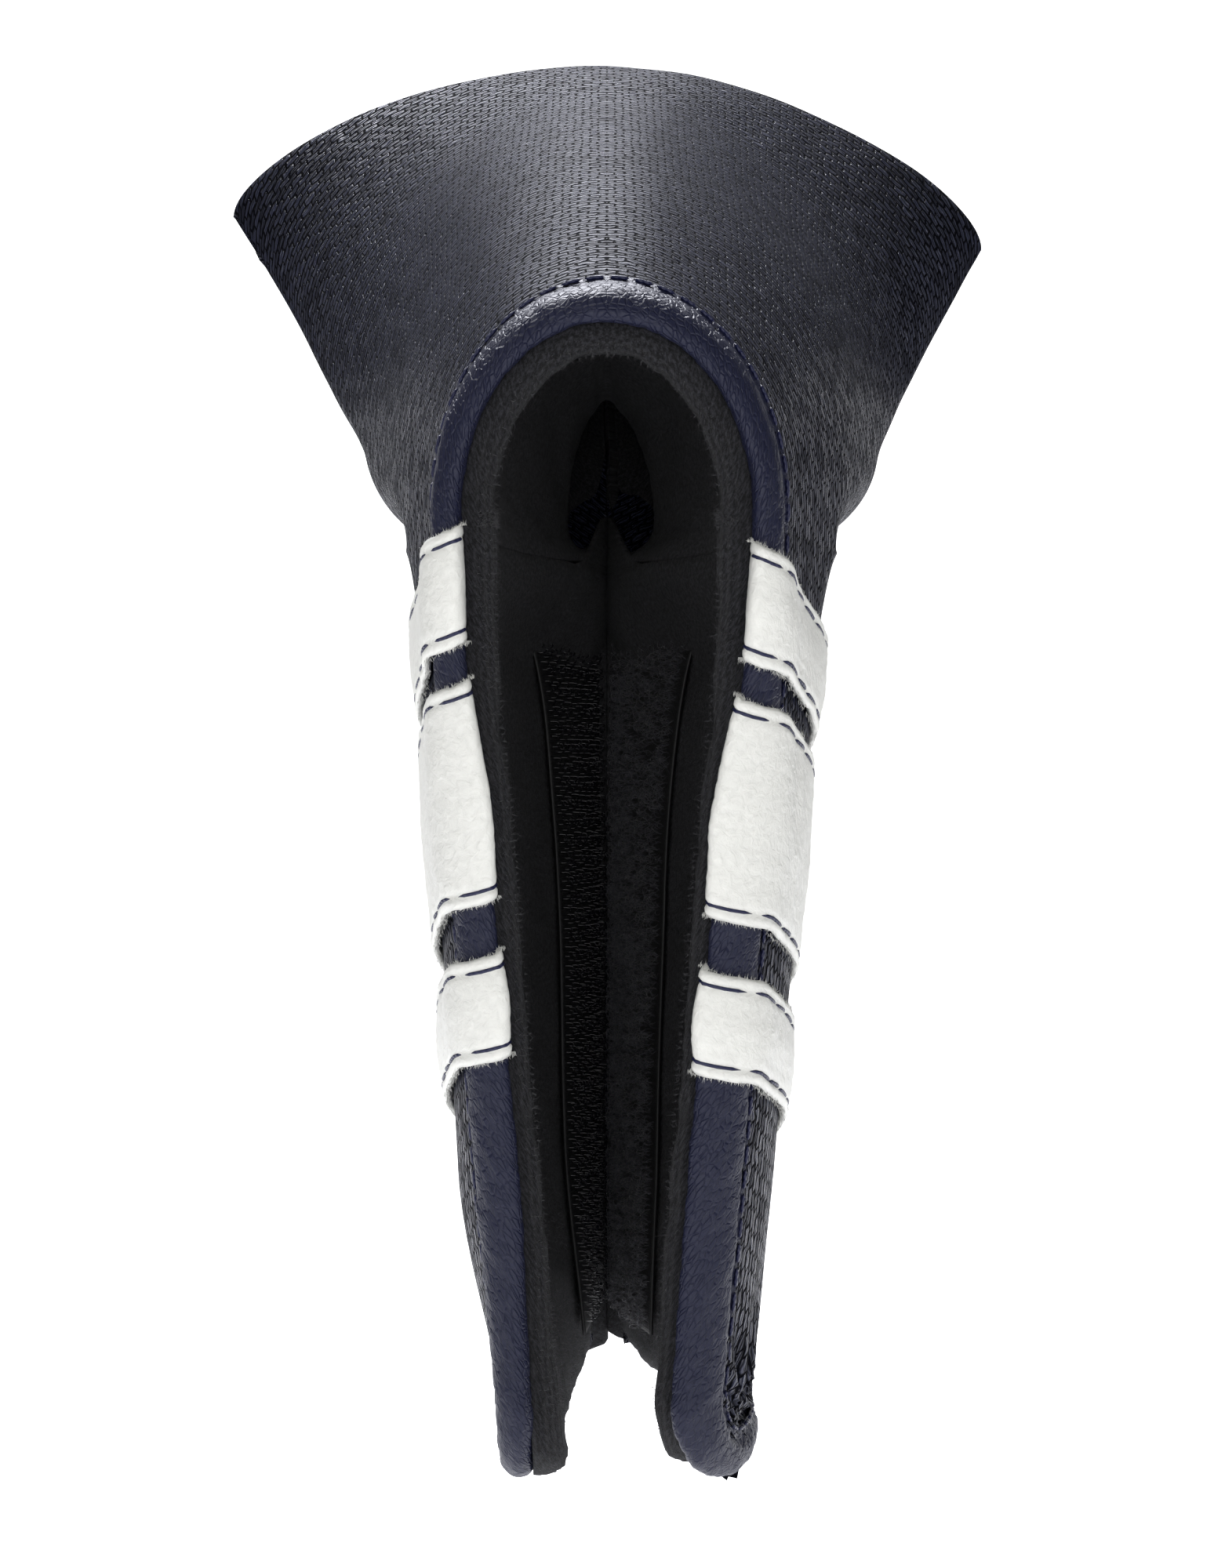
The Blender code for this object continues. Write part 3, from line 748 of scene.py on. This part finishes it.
def make_leather(side, context):
    """One half of the padded leather, from the middle line over the side to the neck."""
    cover = Cover(context.scene.cover_sizes)
    form = new_form()
    lay_halves(form, *skin_tables(side, cover))
    face_out(form, lambda centre: Vector((SIDES[side], 0.0, 0.3)))
    reach, rounds = ROOT_SMOOTHING
    near_root = [vert for vert in form.verts
                 if abs(vert.co.z) < reach and vert.co.y < cover.flap_depth
                 and not vert.is_boundary]
    for _ in range(rounds):
        bmesh.ops.smooth_vert(form, verts=near_root, factor=0.5, use_axis_x=True,
                              use_axis_y=True, use_axis_z=True)
    seed = 3.1 if side == "left" else 7.7

    def height(flat, co):
        free = ease(0.002, 0.012, co.y) * ease(0.0, 0.014, flat[0])
        relief = free * (0.0008 * rumple(flat, 0.036, seed) + 0.00012 * rumple(flat, 0.011, 1.5))
        relief += 0.00010 * math.sin(flat[0] / 0.00045) * math.exp(-((co.y - 0.0036) / 0.0012)**2)
        if side == "right" and co.z < -0.08:
            relief += pleats(co.y, co.z, cover)
        return relief

    displace(form, height)
    thicken(form, lambda co: cover.skin * (1.0 - 0.9 * ease(0.085, 0.105, co.y)))
    piece = finish_piece(f"leather_{side}", form, material_of("leather", context),
                         cover)
    bend_at_root(piece)
    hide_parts(f"{side}_flap_leather", f"{side}_flap_padding", "pocket_leather",
                "pocket_padding")


def make_lining(side, context):
    """One half of the fleece lining, rounded over at the slot and the neck end."""
    cover = Cover(context.scene.cover_sizes)
    form = new_form()
    thick = cover.wall - cover.lining_depth
    end = 1.0 - (cover.wall - 0.0012) * 3.9 / cover.pocket_depth
    edge = cover.flap_depth / cover.pocket_depth

    def rounding(distance):
        near = min(max(distance / FLEECE_RIM, 0.0), 1.0)
        return math.sqrt(1.0 - (1.0 - near)**2)

    round_rows = [-FLEECE_GROW + FLEECE_RIM * (1 - math.cos(angle))
                  for angle in steps(0.0, 0.5 * math.pi, 9)]
    starts = [y / cover.pocket_depth for y in round_rows]
    shares = starts + steps(starts[-1], edge, 61)[1:] + steps(edge, end, 19)[1:]
    around = steps(0.0, 1.0, 91)

    def depth_at(distance, z=0.0):
        rim_depth = binding_leg(z) - 0.0004
        return rim_depth + (cover.wall - rim_depth) * rounding(distance)

    def shut_at(y, z):
        return max(ease(0.050, cover.flap_depth, y) * ease(0.020, 0.004, -z),
                   ease(cover.flap_depth - 0.003, cover.flap_depth - 0.0005, y))

    pocket = []
    for s in shares:
        depth = depth_at(s * cover.pocket_depth + FLEECE_GROW)
        pocket.append([cover.sag(cover.pocket_point(side, s, v, depth)) for v in around])
    pocket = np.array(pocket)
    for row, s in zip(pocket, shares):
        for point, v in zip(row, around):
            shut = shut_at(s * cover.pocket_depth, 0.0) * ease(0.80, 1.0, v)
            point[0] += (-SIDES[side] * MEET - point[0]) * shut
    back = pocket[-1]
    middle = 0.5 * (back + back[::-1])
    pocket = np.concatenate([pocket, [back + (middle - back) * (1 - math.cos(angle))
                                      + np.array([0.0, 0.006 * math.sin(angle), 0.0])
                                      for angle in steps(0.0, 0.5 * math.pi, 5)[1:]]])
    hang = 0.0026 if side == "left" else 0.0012
    flap = []
    for z in cover.flap_heights(hang, 100, 16):
        low = ease(0.0, cover.neck_corner, -z - cover.flap_length + cover.neck_corner)
        drop = FLEECE_GROW + (hang - FLEECE_GROW) * low
        first, last = cover.flap_limits(z, drop)
        last = min(last, cover.flap_depth)
        below = z + cover.flap_length + hang
        across = [first + FLEECE_RIM * (1 - math.cos(angle))
                  for angle in steps(0.0, 0.5 * math.pi, 9)]
        across += steps(first + FLEECE_RIM, last, 61)[1:]
        column = []
        for y in across:
            depth = depth_at(min(y - first, below), z)
            point = cover.sag(cover.flap_point(side, y, z, depth))
            shut = shut_at(y, z)
            column.append((point[0] * (1.0 - shut) - SIDES[side] * MEET * shut, y, z))
        flap.append(column)
    lay_halves(form, pocket, np.array(flap).transpose(1, 0, 2))
    face_out(form, lambda centre: Vector((-SIDES[side], 0.0, -0.3)))

    def height(flat, co):
        lumps = 0.00045 * rumple(flat, 0.007, 2.0) + 0.00022 * rumple(flat, 0.0022, 5.0)
        lumps *= ease(0.0, 0.003, abs(co.x))
        groove = -0.0012 * math.exp(-(co.x / 0.0012)**2) * ease(0.002, 0.010, co.y)
        return lumps + (groove if co.z > 0.0 else 0.0)

    displace(form, height)
    thicken(form, lambda co: (thick - 0.0004) * (1.0 - 0.8 * ease(0.075, 0.090, co.y)))
    piece = finish_piece(f"lining_{side}", form, material_of("fleece", context),
                         cover)
    bend_at_root(piece)
    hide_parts(f"pocket_lining_{side}", f"{side}_flap_lining")


def make_gusset(side, context):
    """Fleece that closes the corner where the pocket's lining meets the flap's."""
    cover = Cover(context.scene.cover_sizes)
    form = new_form()
    table = []
    for share in steps(0.0, 1.0, 12):
        row = []
        for y in steps(0.047, cover.flap_depth, 41):
            x = cover.sag(cover.flap_point(side, y, 0.0, cover.wall - 0.0003))[0]
            x += (-SIDES[side] * MEET - x) * ease(0.050, cover.flap_depth, y)
            rise = share * (0.0010 + 0.009 * ease(0.050, 0.070, y)) - 0.0010
            row.append((x, y + 0.45 * max(rise, 0.0), rise))
        table.append(row)
    lay_table(form, table)
    face_out(form, lambda centre: Vector((-SIDES[side], -1.0, 0.0)))
    thicken(form, lambda co: 0.0008)
    piece = finish_piece(f"gusset_{side}", form, material_of("fleece", context),
                         cover)
    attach(piece, "pocket")


BINDING_SECTION = [(0.10, -6.6), (-0.18, -6.4), (-0.06, -5.4), (-0.22, -4.0), (-0.50, -2.8),
                   (-0.98, -1.4), (-1.15, 0.2), (-0.90, 1.6), (0.05, 2.62), (1.40, 2.95),
                   (2.70, 2.50), (3.50, 1.40), (3.75, 0.25), (3.20, -0.50), (1.50, -0.60),
                   (0.20, -0.90), (0.15, -4.0)]


def binding_outline(count):
    """The binding's closed section as (depth, reach) in metres."""
    return smooth_path([(depth / 1000, reach / 1000) for depth, reach in BINDING_SECTION],
                       count, closed=True)


def binding_leg(z):
    """How far the binding laps over the lining's side at height z."""
    return 0.00245 + 0.00080 * ease(0.02, 0.08, -z)


def outer_leg(z):
    """Share of the arch's reach that the binding's outer leg keeps at height z."""
    return 1.0 - 0.5 * ease(0.0, 0.03, -z)


def make_binding(side, context):
    """Half of the rolled leather edge, from the arch's top to the flap's far corner."""
    cover = Cover(context.scene.cover_sizes)
    form = new_form()
    outline = binding_outline(49)
    centre = outline[:-1].mean(axis=0)
    stations = cover.edge_stations(BINDING_STEP)
    table = []
    for index, station in enumerate(stations):
        wider = binding_leg(station[2]) / SECTION_LEG
        left = (len(stations) - 1 - index) * BINDING_STEP
        shrink = math.sqrt(1.0 - max(1.0 - left / BINDING_END, 0.0)**2)
        ring = []
        for depth, reach in centre + (outline - centre) * shrink:
            ring.append(cover.edge_point(side, station, depth * (wider if depth > 0 else 1.0),
                                         reach * (outer_leg(station[2]) if reach < 0 else 1.0)))
        table.append(ring)
    lay_table(form, table)
    weld(form)
    seed = 11.0 if side == "left" else 23.0

    def height(flat, co):
        across, along = flat[0], flat[1]
        spot = Vector((along / 0.0022, across / 0.0030, seed))
        near = noise.voronoi(spot)[0]
        groove = max(0.0, 1.0 - (near[1] - near[0]) / 0.22)
        swell = rumple((along, across * 0.4), 0.0048, seed)
        fine = rumple((along, across * 0.3), 0.0016, seed + 4.0)
        fade = ease(0.0, 0.002, abs(co.x))
        return fade * (0.00018 * swell + 0.00005 * fine - 0.00014 * groove)

    bmesh.ops.recalc_face_normals(form, faces=form.faces[:])
    displace(form, height)
    bmesh.ops.holes_fill(form, edges=[edge for edge in form.edges if edge.is_boundary], sides=0)
    piece = finish_piece(f"binding_{side}", form, material_of("binding", context),
                         cover)
    bend_at_root(piece)
    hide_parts("arch_binding", f"{side}_flap_binding")


STRIPE_WRAP = [(3.20, 1.55), (2.75, 2.30), (2.00, 2.85), (1.20, 3.05), (0.10, 2.80),
               (-0.95, 1.85), (-1.32, 0.10), (-1.22, -1.60), (-0.95, -2.95), (-0.66, -4.60),
               (-0.56, -6.60)]


def stripe_way(cover, count, far):
    """The way a stripe takes over the binding and along the flap, as (depth, y)."""
    knots = [(depth / 1000, -reach / 1000) for depth, reach in STRIPE_WRAP]
    knots += [(-0.0002, y) for y in (0.009, 0.020, 0.040, cover.flap_depth - far)]
    return smooth_path(knots, count)


def thinned(share):
    """Share of a stripe's thickness, share of the way along."""
    least, run = STRIPE_THIN
    return least + (1.0 - least) * ease(0.0, run, share)


def stripe_at(cover, side, name, way, share, across, lift):
    """Point on a stripe, share of the way along and across from its upper edge."""
    index = share * (len(way) - 1)
    low = min(int(index), len(way) - 2)
    ahead = way[low + 1] - way[low]
    ahead /= math.hypot(*ahead)
    depth, y = way[low] + (way[low + 1] - way[low]) * (index - low)
    start = STRIPES[name][0] + STRIPE_SHIFT[HALVES[side]]
    rise = 0.0008 * ease(0.003, -0.003, y) + STRIPE_RISE * max(depth + 0.0013, 0.0)
    z = -start - across - STRIPE_FALL * max(y, 0.0) + rise
    if depth > 0.0:
        depth *= binding_leg(z) / SECTION_LEG
    return cover.flap_point(side, y + lift * ahead[0], z, depth - lift * ahead[1])


def make_stripe(side, name, context):
    """A white leather strap sewn over the binding and the flap, with raw cut edges."""
    cover = Cover(context.scene.cover_sizes)
    form = new_form()
    width = STRIPES[name][1]
    way = stripe_way(cover, 161, 0.003)
    shares = steps(0.0, 1.0, 161)
    count = max(int(width / 0.0005), 16)
    acrosses = steps(0.0, width, count + 1)
    seed = len(name) + (20.0 if side == "left" else 40.0)

    def thickness(share, across):
        rim = min(across, width - across)
        inset = abs(rim - cover.stitch_inset)
        full = cover.stripe * (0.62 + 0.38 * ease(0.0, 0.0007, rim))
        full -= 0.00042 * math.exp(-(inset / 0.00034)**2)
        puff = 0.0003 * ease(cover.stitch_inset, 0.5 * width, rim)
        crease = 0.00016 * rumple((share * STRIPE_RUN, across), 0.0045, seed)
        crease += 0.00010 * rumple((share * STRIPE_RUN, across * 2.5), 0.0022, seed + 1)
        return (full + puff + crease) * thinned(share)

    table = []
    for share in shares:
        row = []
        for across in acrosses:
            ragged = 0.00022 * rumple((share * STRIPE_RUN, across), 0.0011, seed + 2)
            edge = 1.0 if across in (acrosses[0], acrosses[-1]) else 0.0
            row.append(stripe_at(cover, side, name, way, share, across + ragged * edge,
                                 thickness(share, across)))
        table.append(row)
    lay_table(form, table)
    face_out(form, lambda centre: Vector((SIDES[side], -0.2, 0.0)))
    thicken(form, lambda co: 0.75 * cover.stripe)
    piece = finish_piece(f"stripe_{side}_{name}", form, material_of("stripe", context),
                         cover)
    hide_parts(f"{side}_stripe_{name}")
    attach(piece, f"{side}_flap")
    make_raw_edge(side, name, way, cover, context)
    make_stripe_stitches(side, name, way, cover, context)


def make_raw_edge(side, name, way, cover, context):
    """Short fibres that stand out of a stripe's cut edges."""
    rand = random.Random(f"{side}{name}")
    width = STRIPES[name][1]
    paths = []
    for _ in range(RAW_FIBRES):
        share = rand.random()**1.6
        upper = rand.random() < 0.5
        lift = cover.stripe * rand.uniform(0.05, 0.75)
        across = 0.0001 if upper else width - 0.0001
        root = Vector(stripe_at(cover, side, name, way, share, across, lift))
        out = Vector(stripe_at(cover, side, name, way, share,
                               across + (-0.001 if upper else 0.001), lift)) - root
        out.normalize()
        stray = Vector((rand.gauss(0, 0.5), rand.gauss(0, 0.5), rand.gauss(0, 0.3)))
        reach = rand.uniform(0.00020, 0.00060)
        bend = Vector((rand.gauss(0, 0.4), rand.gauss(0, 0.4), rand.gauss(0, 0.4)))
        paths.append([root, root + (out + 0.4 * stray) * 0.5 * reach,
                      root + (out + 0.6 * stray + 0.6 * bend) * reach])
    form = new_form()
    lay_tubes(form, paths, [0.00004, 0.000035, 0.0], 3)
    weld(form)
    piece = finish_piece(f"raw_edge_{side}_{name}", form, material_of("raw_edge", context),
                         cover)
    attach(piece, f"{side}_flap")


def sew(name, places, node, body, cover, context):
    """Makes one piece of a row of stitches, each drawn in at its ends."""
    spread = np.linspace(0.0, 1.0, 7)
    radii = cover.thread * np.sqrt(np.clip(1.0 - (2 * spread - 1)**6, 0.0, 1.0))
    form = new_form()
    lay_tubes(form, places, radii, 8)
    weld(form)
    piece = finish_piece(name, form, material_of("thread", context), cover)
    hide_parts(node)
    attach(piece, body)


def make_stripe_stitches(side, name, way, cover, context):
    """Two rows of stitches along a stripe, sunk into the leather."""
    run = run_along(way)
    pitch, gap, first = STRIPE_ROW
    places = []
    for across in (cover.stitch_inset, STRIPES[name][1] - cover.stitch_inset):
        start = first
        while start + pitch < run[-1] - 0.001:
            points = []
            for t in steps(start + gap / 2, start + pitch - gap / 2, 7):
                share = np.interp(t, run, np.linspace(0.0, 1.0, len(way)))
                middle = (t - start - pitch / 2) / (pitch / 2)
                lift = cover.stripe * 0.80 - 0.00030 * abs(middle)**4
                points.append(stripe_at(cover, side, name, way, share, across,
                                        lift * thinned(share)))
            places.append(points)
            start += pitch
    sew(f"stitches_{side}_{name}", places, f"{side}_stripe_stitch_{name}", f"{side}_flap",
        cover, context)


def split_row(line, pitch):
    """Cuts a line of points into stitches of an even pitch."""
    line = np.array(line)
    run = run_along(line)
    places = []
    for k in range(int(run[-1] / pitch)):
        ends = np.linspace(k * pitch + STITCH_END, (k + 1) * pitch - STITCH_END, 7)
        places.append(np.stack([np.interp(ends, run, line[:, c]) for c in range(3)], axis=1))
    return places


def edge_stitches(cover, side, on_flap):
    """Stitches beside the binding, on the arch or on a flap."""
    reach, depth, pitch = EDGE_ROW
    return split_row([cover.edge_point(side, station, depth, reach * outer_leg(station[2]))
                      for station in cover.edge_stations(0.0005) if station[0] == on_flap], pitch)


def make_seam_stitches(context):
    """Stitch rows beside the binding, along the underside seam and across the toe."""
    cover = Cover(context.scene.cover_sizes)
    for side in SIDES:
        sew(f"binding_stitches_{side}", edge_stitches(cover, side, True),
            f"{side}_binding_stitch", f"{side}_flap", cover, context)
    arch = [places for side in SIDES for places in edge_stitches(cover, side, False)]
    sew("binding_stitches_arch", arch, "arch_binding_stitch", "pocket", cover, context)

    edge = cover.flap_depth / cover.pocket_depth
    beside = np.array([0.0012, 0.0006, -0.0003])
    line = [np.array(cover.pocket_point("right", s, 1.0, 0.0)) + beside
            for s in steps(edge + 0.06, 0.985, 80)]
    sew("underside_stitches", split_row(line, 0.0028), "underside_seam_stitch", "pocket",
        cover, context)

    line = []
    for side, order in (("left", steps(0.46, 0.0, 60)), ("right", steps(0.0, 0.46, 60)[1:])):
        for v in order:
            top = np.array(cover.pocket_point(side, 1.0, v, 0.0))
            low = np.array(cover.pocket_point(side, 1.0, 1.0 - v, 0.0))
            line.append(0.5 * (top + low) + np.array([0.0, 0.0019, 0.0]))
    sew("toe_stitches", split_row(line, 0.0032), "toe_seam_stitch", "pocket", cover, context)


# A hook as (share of its height, sideways in widths), from its root to its tip.
HOOK_SHAPE = ((0.0, 0.0), (0.5, 0.0), (0.85, 0.12), (1.0, 0.75), (0.86, 1.5), (0.55, 1.6))


def make_tape(side, context):
    """A closing tape with its woven ground, selvedges, and hooks or loops."""
    cover = Cover(context.scene.cover_sizes)
    first = cover.flap_depth - cover.tape_edge - cover.tape_width
    last = cover.flap_depth - cover.tape_edge
    top, low = -cover.tape_top, -cover.flap_length + cover.far_corner
    form = new_form()
    rand = random.Random(side)

    def ground(y, z):
        edge = min(y - first, last - y)
        selvedge = 0.00012 * math.exp(-(edge / 0.0005)**2)
        return cover.flap_point(side, y, z, cover.wall + 0.0006 + 0.5 * cover.tape + selvedge)

    def wander(z):
        return 0.0009 * rumple((z, 0.0), 0.021, 5.0 if side == "left" else 9.0)

    table = [[ground(y + wander(z), z) for z in steps(top, low, 141)]
             for y in steps(first, last, 41)]
    lay_table(form, table)
    face_out(form, lambda centre: Vector((-SIDES[side], 0.0, 0.0)))
    thicken(form, lambda co: 0.0005)
    kind = "hook" if side == "left" else "loop"
    piece = finish_piece(f"{kind}_tape_ground", form, material_of("tape", context), cover)
    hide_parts(f"{side}_{kind}_tape")
    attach(piece, f"{side}_flap")

    pile = new_form()
    paths = []
    inward = Vector((-SIDES[side], 0.0, 0.0))
    if side == "left":
        for row, y in enumerate(steps(first + 0.0016, last - 0.0012, HOOKS[0])):
            for k, z in enumerate(steps(top - 0.0012, low + 0.0018, HOOKS[1])):
                z -= 0.0007 * (row % 2) + 0.0003 * rumple((y, z), 0.006, 3.0)
                root = Vector(ground(y + wander(z), z))
                root += Vector((0.0, rand.gauss(0, 0.00015), rand.gauss(0, 0.00012)))
                way = Vector((0.0, 0.3 * rand.gauss(0, 1), 1.0 if k % 2 else -1.0)).normalized()
                tall, wide = rand.uniform(0.0009, 0.0012), 0.00040
                paths.append([root + inward * up * tall + way * out * wide
                              for up, out in HOOK_SHAPE])
        radii = [0.00010, 0.00009, 0.00009, 0.00009, 0.00008, 0.00003]
    else:
        for _ in range(LOOPS):
            y = rand.uniform(first + 0.0012, last - 0.0008)
            z = rand.uniform(low, top)
            root = Vector(ground(y + wander(z), z))
            way = Vector((0.25 * rand.gauss(0, 1), rand.gauss(0, 1), rand.gauss(0, 1)))
            way.normalize()
            side_way = way.cross(inward).normalized()
            size = rand.uniform(0.00035, 0.0009)
            skew = rand.gauss(0, 0.5)
            paths.append([root + inward * size * (0.75 + math.sin(angle))
                          + way * size * math.cos(angle)
                          + side_way * skew * size * math.sin(2 * angle)
                          for angle in steps(-0.25 * math.pi, 1.25 * math.pi, 8)])
        radii = [0.000035] * 8
    lay_tubes(pile, paths, radii, 4 if side == "left" else 3)
    weld(pile)
    piece = finish_piece(f"{kind}_tape_pile", pile, material_of(kind, context), cover)
    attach(piece, f"{side}_flap")


def make_nap(side, context):
    """Loose wool fibres along the lining's rounded edge and over its front."""
    cover = Cover(context.scene.cover_sizes)
    rand = random.Random(f"nap {side}")
    stations = cover.edge_stations(0.0008)
    paths = []
    for _ in range(NAP_FIBRES):
        station = rand.choice(stations)
        inner = rand.random()**1.4
        reach = 0.0004 - 0.024 * inner
        near = 1.0 - min(-reach / FLEECE_RIM + 0.12, 1.0)
        rounded = min(1.0, math.sqrt(max(1.0 - near**2, 0.0)) + 0.05)
        depth = cover.lining_depth + (cover.wall - cover.lining_depth) * rounded
        root = Vector(cover.sag(cover.edge_point(side, station, depth - 0.0002, reach)))
        inward = Vector(cover.sag(cover.edge_point(side, station, depth + 0.001, reach))) - root
        inward.normalize()
        front = Vector((0.0, -1.0, 0.0)) * max(0.0, 1.0 - inner * 6)
        stray = Vector((rand.gauss(0, 0.7), rand.gauss(0, 0.7), rand.gauss(0, 0.7)))
        size = rand.uniform(0.0003, 0.0009)
        curl = Vector((rand.gauss(0, 0.5), rand.gauss(0, 0.5), rand.gauss(0, 0.5)))
        lean = (inward + front + stray).normalized()
        paths.append([root, root + lean * 0.5 * size, root + (lean + 0.5 * curl) * size])
    form = new_form()
    lay_tubes(form, paths, [0.000030, 0.000026, 0.0], 3)
    weld(form)
    piece = finish_piece(f"nap_{side}", form, material_of("nap", context), cover)
    bend_at_root(piece)


# ---- stage -----------------------------------------------------------------------
def area_light(name, at, towards, size, power, tone=(1.0, 1.0, 1.0)):
    """A soft lamp of the given width and height that looks towards a point."""
    light = bpy.data.lights.new(name, "AREA")
    light.shape = "RECTANGLE"
    light.size, light.size_y = size
    light.energy = power
    light.color = tone
    lamp = bpy.data.objects.new(name, light)
    lamp.location = at
    lamp.rotation_euler = (Vector(towards) - Vector(at)).to_track_quat("-Z", "Y").to_euler()
    bpy.context.scene.collection.objects.link(lamp)


def make_stage(context):
    """Pale floor and backdrop, soft lights and the camera."""
    colours = context.scene.cover_colours
    low = Vector(cad_box[0]).z - 0.10
    form = bmesh.new()
    back, bend = 1.6, 0.8
    profile = [(-2.0, low), (back, low)]
    profile += [(back + bend * math.sin(angle), low + bend * (1 - math.cos(angle)))
                for angle in steps(0.0, 0.5 * math.pi, 13)[1:]]
    profile += [(back + bend, 0.95)]
    ends = bmesh.ops.create_grid(form, x_segments=1, y_segments=len(profile) - 1, size=0.5)
    for vert in ends["verts"]:
        place = round((vert.co.y + 0.5) * (len(profile) - 1))
        vert.co = (2.2 * vert.co.x, *profile[place])
    mesh = bpy.data.meshes.new("floor")
    form.to_mesh(mesh)
    form.free()
    mesh.shade_smooth()
    floor = bpy.data.objects.new("floor", mesh)
    context.scene.collection.objects.link(floor)
    paper = bpy.data.materials.new("white_paper")
    paper.use_nodes = True
    tree = paper.node_tree
    shader = tree.nodes["Principled BSDF"]
    shader.inputs["Base Color"].default_value = linear(colours.stage)
    shader.inputs["Roughness"].default_value = 0.9
    shader.inputs["Emission Color"].default_value = (1.0, 1.0, 1.0, 1.0)
    place = add(tree, "ShaderNodeTexCoord").outputs["Object"]
    away = add(tree, "ShaderNodeSeparateXYZ", {"Vector": place}).outputs["Y"]
    tree.links.new(ramp(tree, away, -0.2, 0.35, 0.15, 1.0), shader.inputs["Emission Strength"])
    mesh.materials.append(paper)

    middle = (0.0, 0.0, -0.06)
    area_light("overhead", (-0.30, 0.25, 0.80), (0.0, 0.03, 0.0), (0.40, 0.25), 1.2)
    area_light("back_light", (-0.12, 0.52, 0.80), (0.0, 0.03, 0.0), (0.55, 0.22), 14.0,
               (0.92, 0.93, 1.0))
    area_light("left_softbox", (-0.55, -0.80, 0.25), middle, (0.3, 0.6), 1.2)
    area_light("right_softbox", (0.55, -0.80, 0.20), middle, (0.3, 0.6), 1.1)
    area_light("front_fill", (0.0, -1.20, 0.15), middle, (0.7, 0.7), 4.4)

    world = bpy.data.worlds.new("studio")
    world.use_nodes = True
    sky = world.node_tree.nodes["Background"].inputs
    sky["Color"].default_value = (1.0, 1.0, 1.0, 1.0)
    sky["Strength"].default_value = 0.10
    context.scene.world = world
    context.scene.view_settings.view_transform = "Standard"

    lens = bpy.data.cameras.new("camera")
    lens.sensor_fit = "VERTICAL"
    lens.sensor_height = 36.0
    lens.lens = 57.14
    lens.clip_start = 0.01
    camera = bpy.data.objects.new("camera", lens)
    camera.location = (0.0, -0.355, -0.08034)
    camera.rotation_euler = (0.5 * math.pi, 0.0, 0.0)
    context.scene.collection.objects.link(camera)
    context.scene.camera = camera


# ---- operators and panel ---------------------------------------------------------
class BuildOperator(bpy.types.Operator):
    """Shared running of the cover's building steps."""
    bl_options = {"REGISTER", "UNDO"}

    def build(self, context):
        """Makes the step's pieces."""
        raise NotImplementedError

    def execute(self, context):
        self.build(context)
        return {"FINISHED"}


class COVER_OT_leather(BuildOperator):
    """Build both halves of the padded leather"""
    bl_idname = "cover.leather"
    bl_label = "Leather"

    def build(self, context):
        for side in SIDES:
            make_leather(side, context)


class COVER_OT_lining(BuildOperator):
    """Build both halves of the fleece lining and its nap"""
    bl_idname = "cover.lining"
    bl_label = "Lining"

    def build(self, context):
        for side in SIDES:
            make_lining(side, context)
            make_gusset(side, context)
            make_nap(side, context)


class COVER_OT_binding(BuildOperator):
    """Build both halves of the rolled binding"""
    bl_idname = "cover.binding"
    bl_label = "Binding"

    def build(self, context):
        for side in SIDES:
            make_binding(side, context)


class COVER_OT_stripes(BuildOperator):
    """Build the white stripes with their stitches and raw edges"""
    bl_idname = "cover.stripes"
    bl_label = "Stripes"

    def build(self, context):
        for side in SIDES:
            for name in STRIPES:
                make_stripe(side, name, context)


class COVER_OT_stitches(BuildOperator):
    """Build the stitch rows of the binding and the seams"""
    bl_idname = "cover.stitches"
    bl_label = "Seam stitches"

    def build(self, context):
        make_seam_stitches(context)


class COVER_OT_tapes(BuildOperator):
    """Build the hook tape and the loop tape"""
    bl_idname = "cover.tapes"
    bl_label = "Tapes"

    def build(self, context):
        for side in SIDES:
            make_tape(side, context)


class COVER_OT_stage(BuildOperator):
    """Build the floor, the lights and the camera"""
    bl_idname = "cover.stage"
    bl_label = "Stage"

    def build(self, context):
        make_stage(context)


class COVER_PT_panel(bpy.types.Panel):
    """Sizes, colours and building steps of the head cover"""
    bl_label = "Head cover"
    bl_idname = "COVER_PT_panel"
    bl_space_type = "VIEW_3D"
    bl_region_type = "UI"
    bl_category = "Head cover"

    def draw(self, context):
        for group in (context.scene.cover_sizes, context.scene.cover_colours):
            box = self.layout.box()
            for key in type(group).__annotations__:
                box.prop(group, key)
        for step in STEPS:
            self.layout.operator(step.bl_idname)


STEPS = (COVER_OT_leather, COVER_OT_lining, COVER_OT_binding, COVER_OT_stripes,
         COVER_OT_stitches, COVER_OT_tapes, COVER_OT_stage)
CLASSES = (CoverSizes, CoverColours, *STEPS, COVER_PT_panel)


def register():
    """Adds the settings, the building steps and the panel."""
    for cls in CLASSES:
        bpy.utils.register_class(cls)
    bpy.types.Scene.cover_sizes = PointerProperty(type=CoverSizes)
    bpy.types.Scene.cover_colours = PointerProperty(type=CoverColours)


def unregister():
    """Takes them away again."""
    del bpy.types.Scene.cover_colours
    del bpy.types.Scene.cover_sizes
    for cls in reversed(CLASSES):
        bpy.utils.unregister_class(cls)


def main():
    """Builds the whole cover."""
    register()
    for step in STEPS:
        group, name = step.bl_idname.split(".")
        getattr(getattr(bpy.ops, group), name)()


if __name__ == "__main__":
    main()
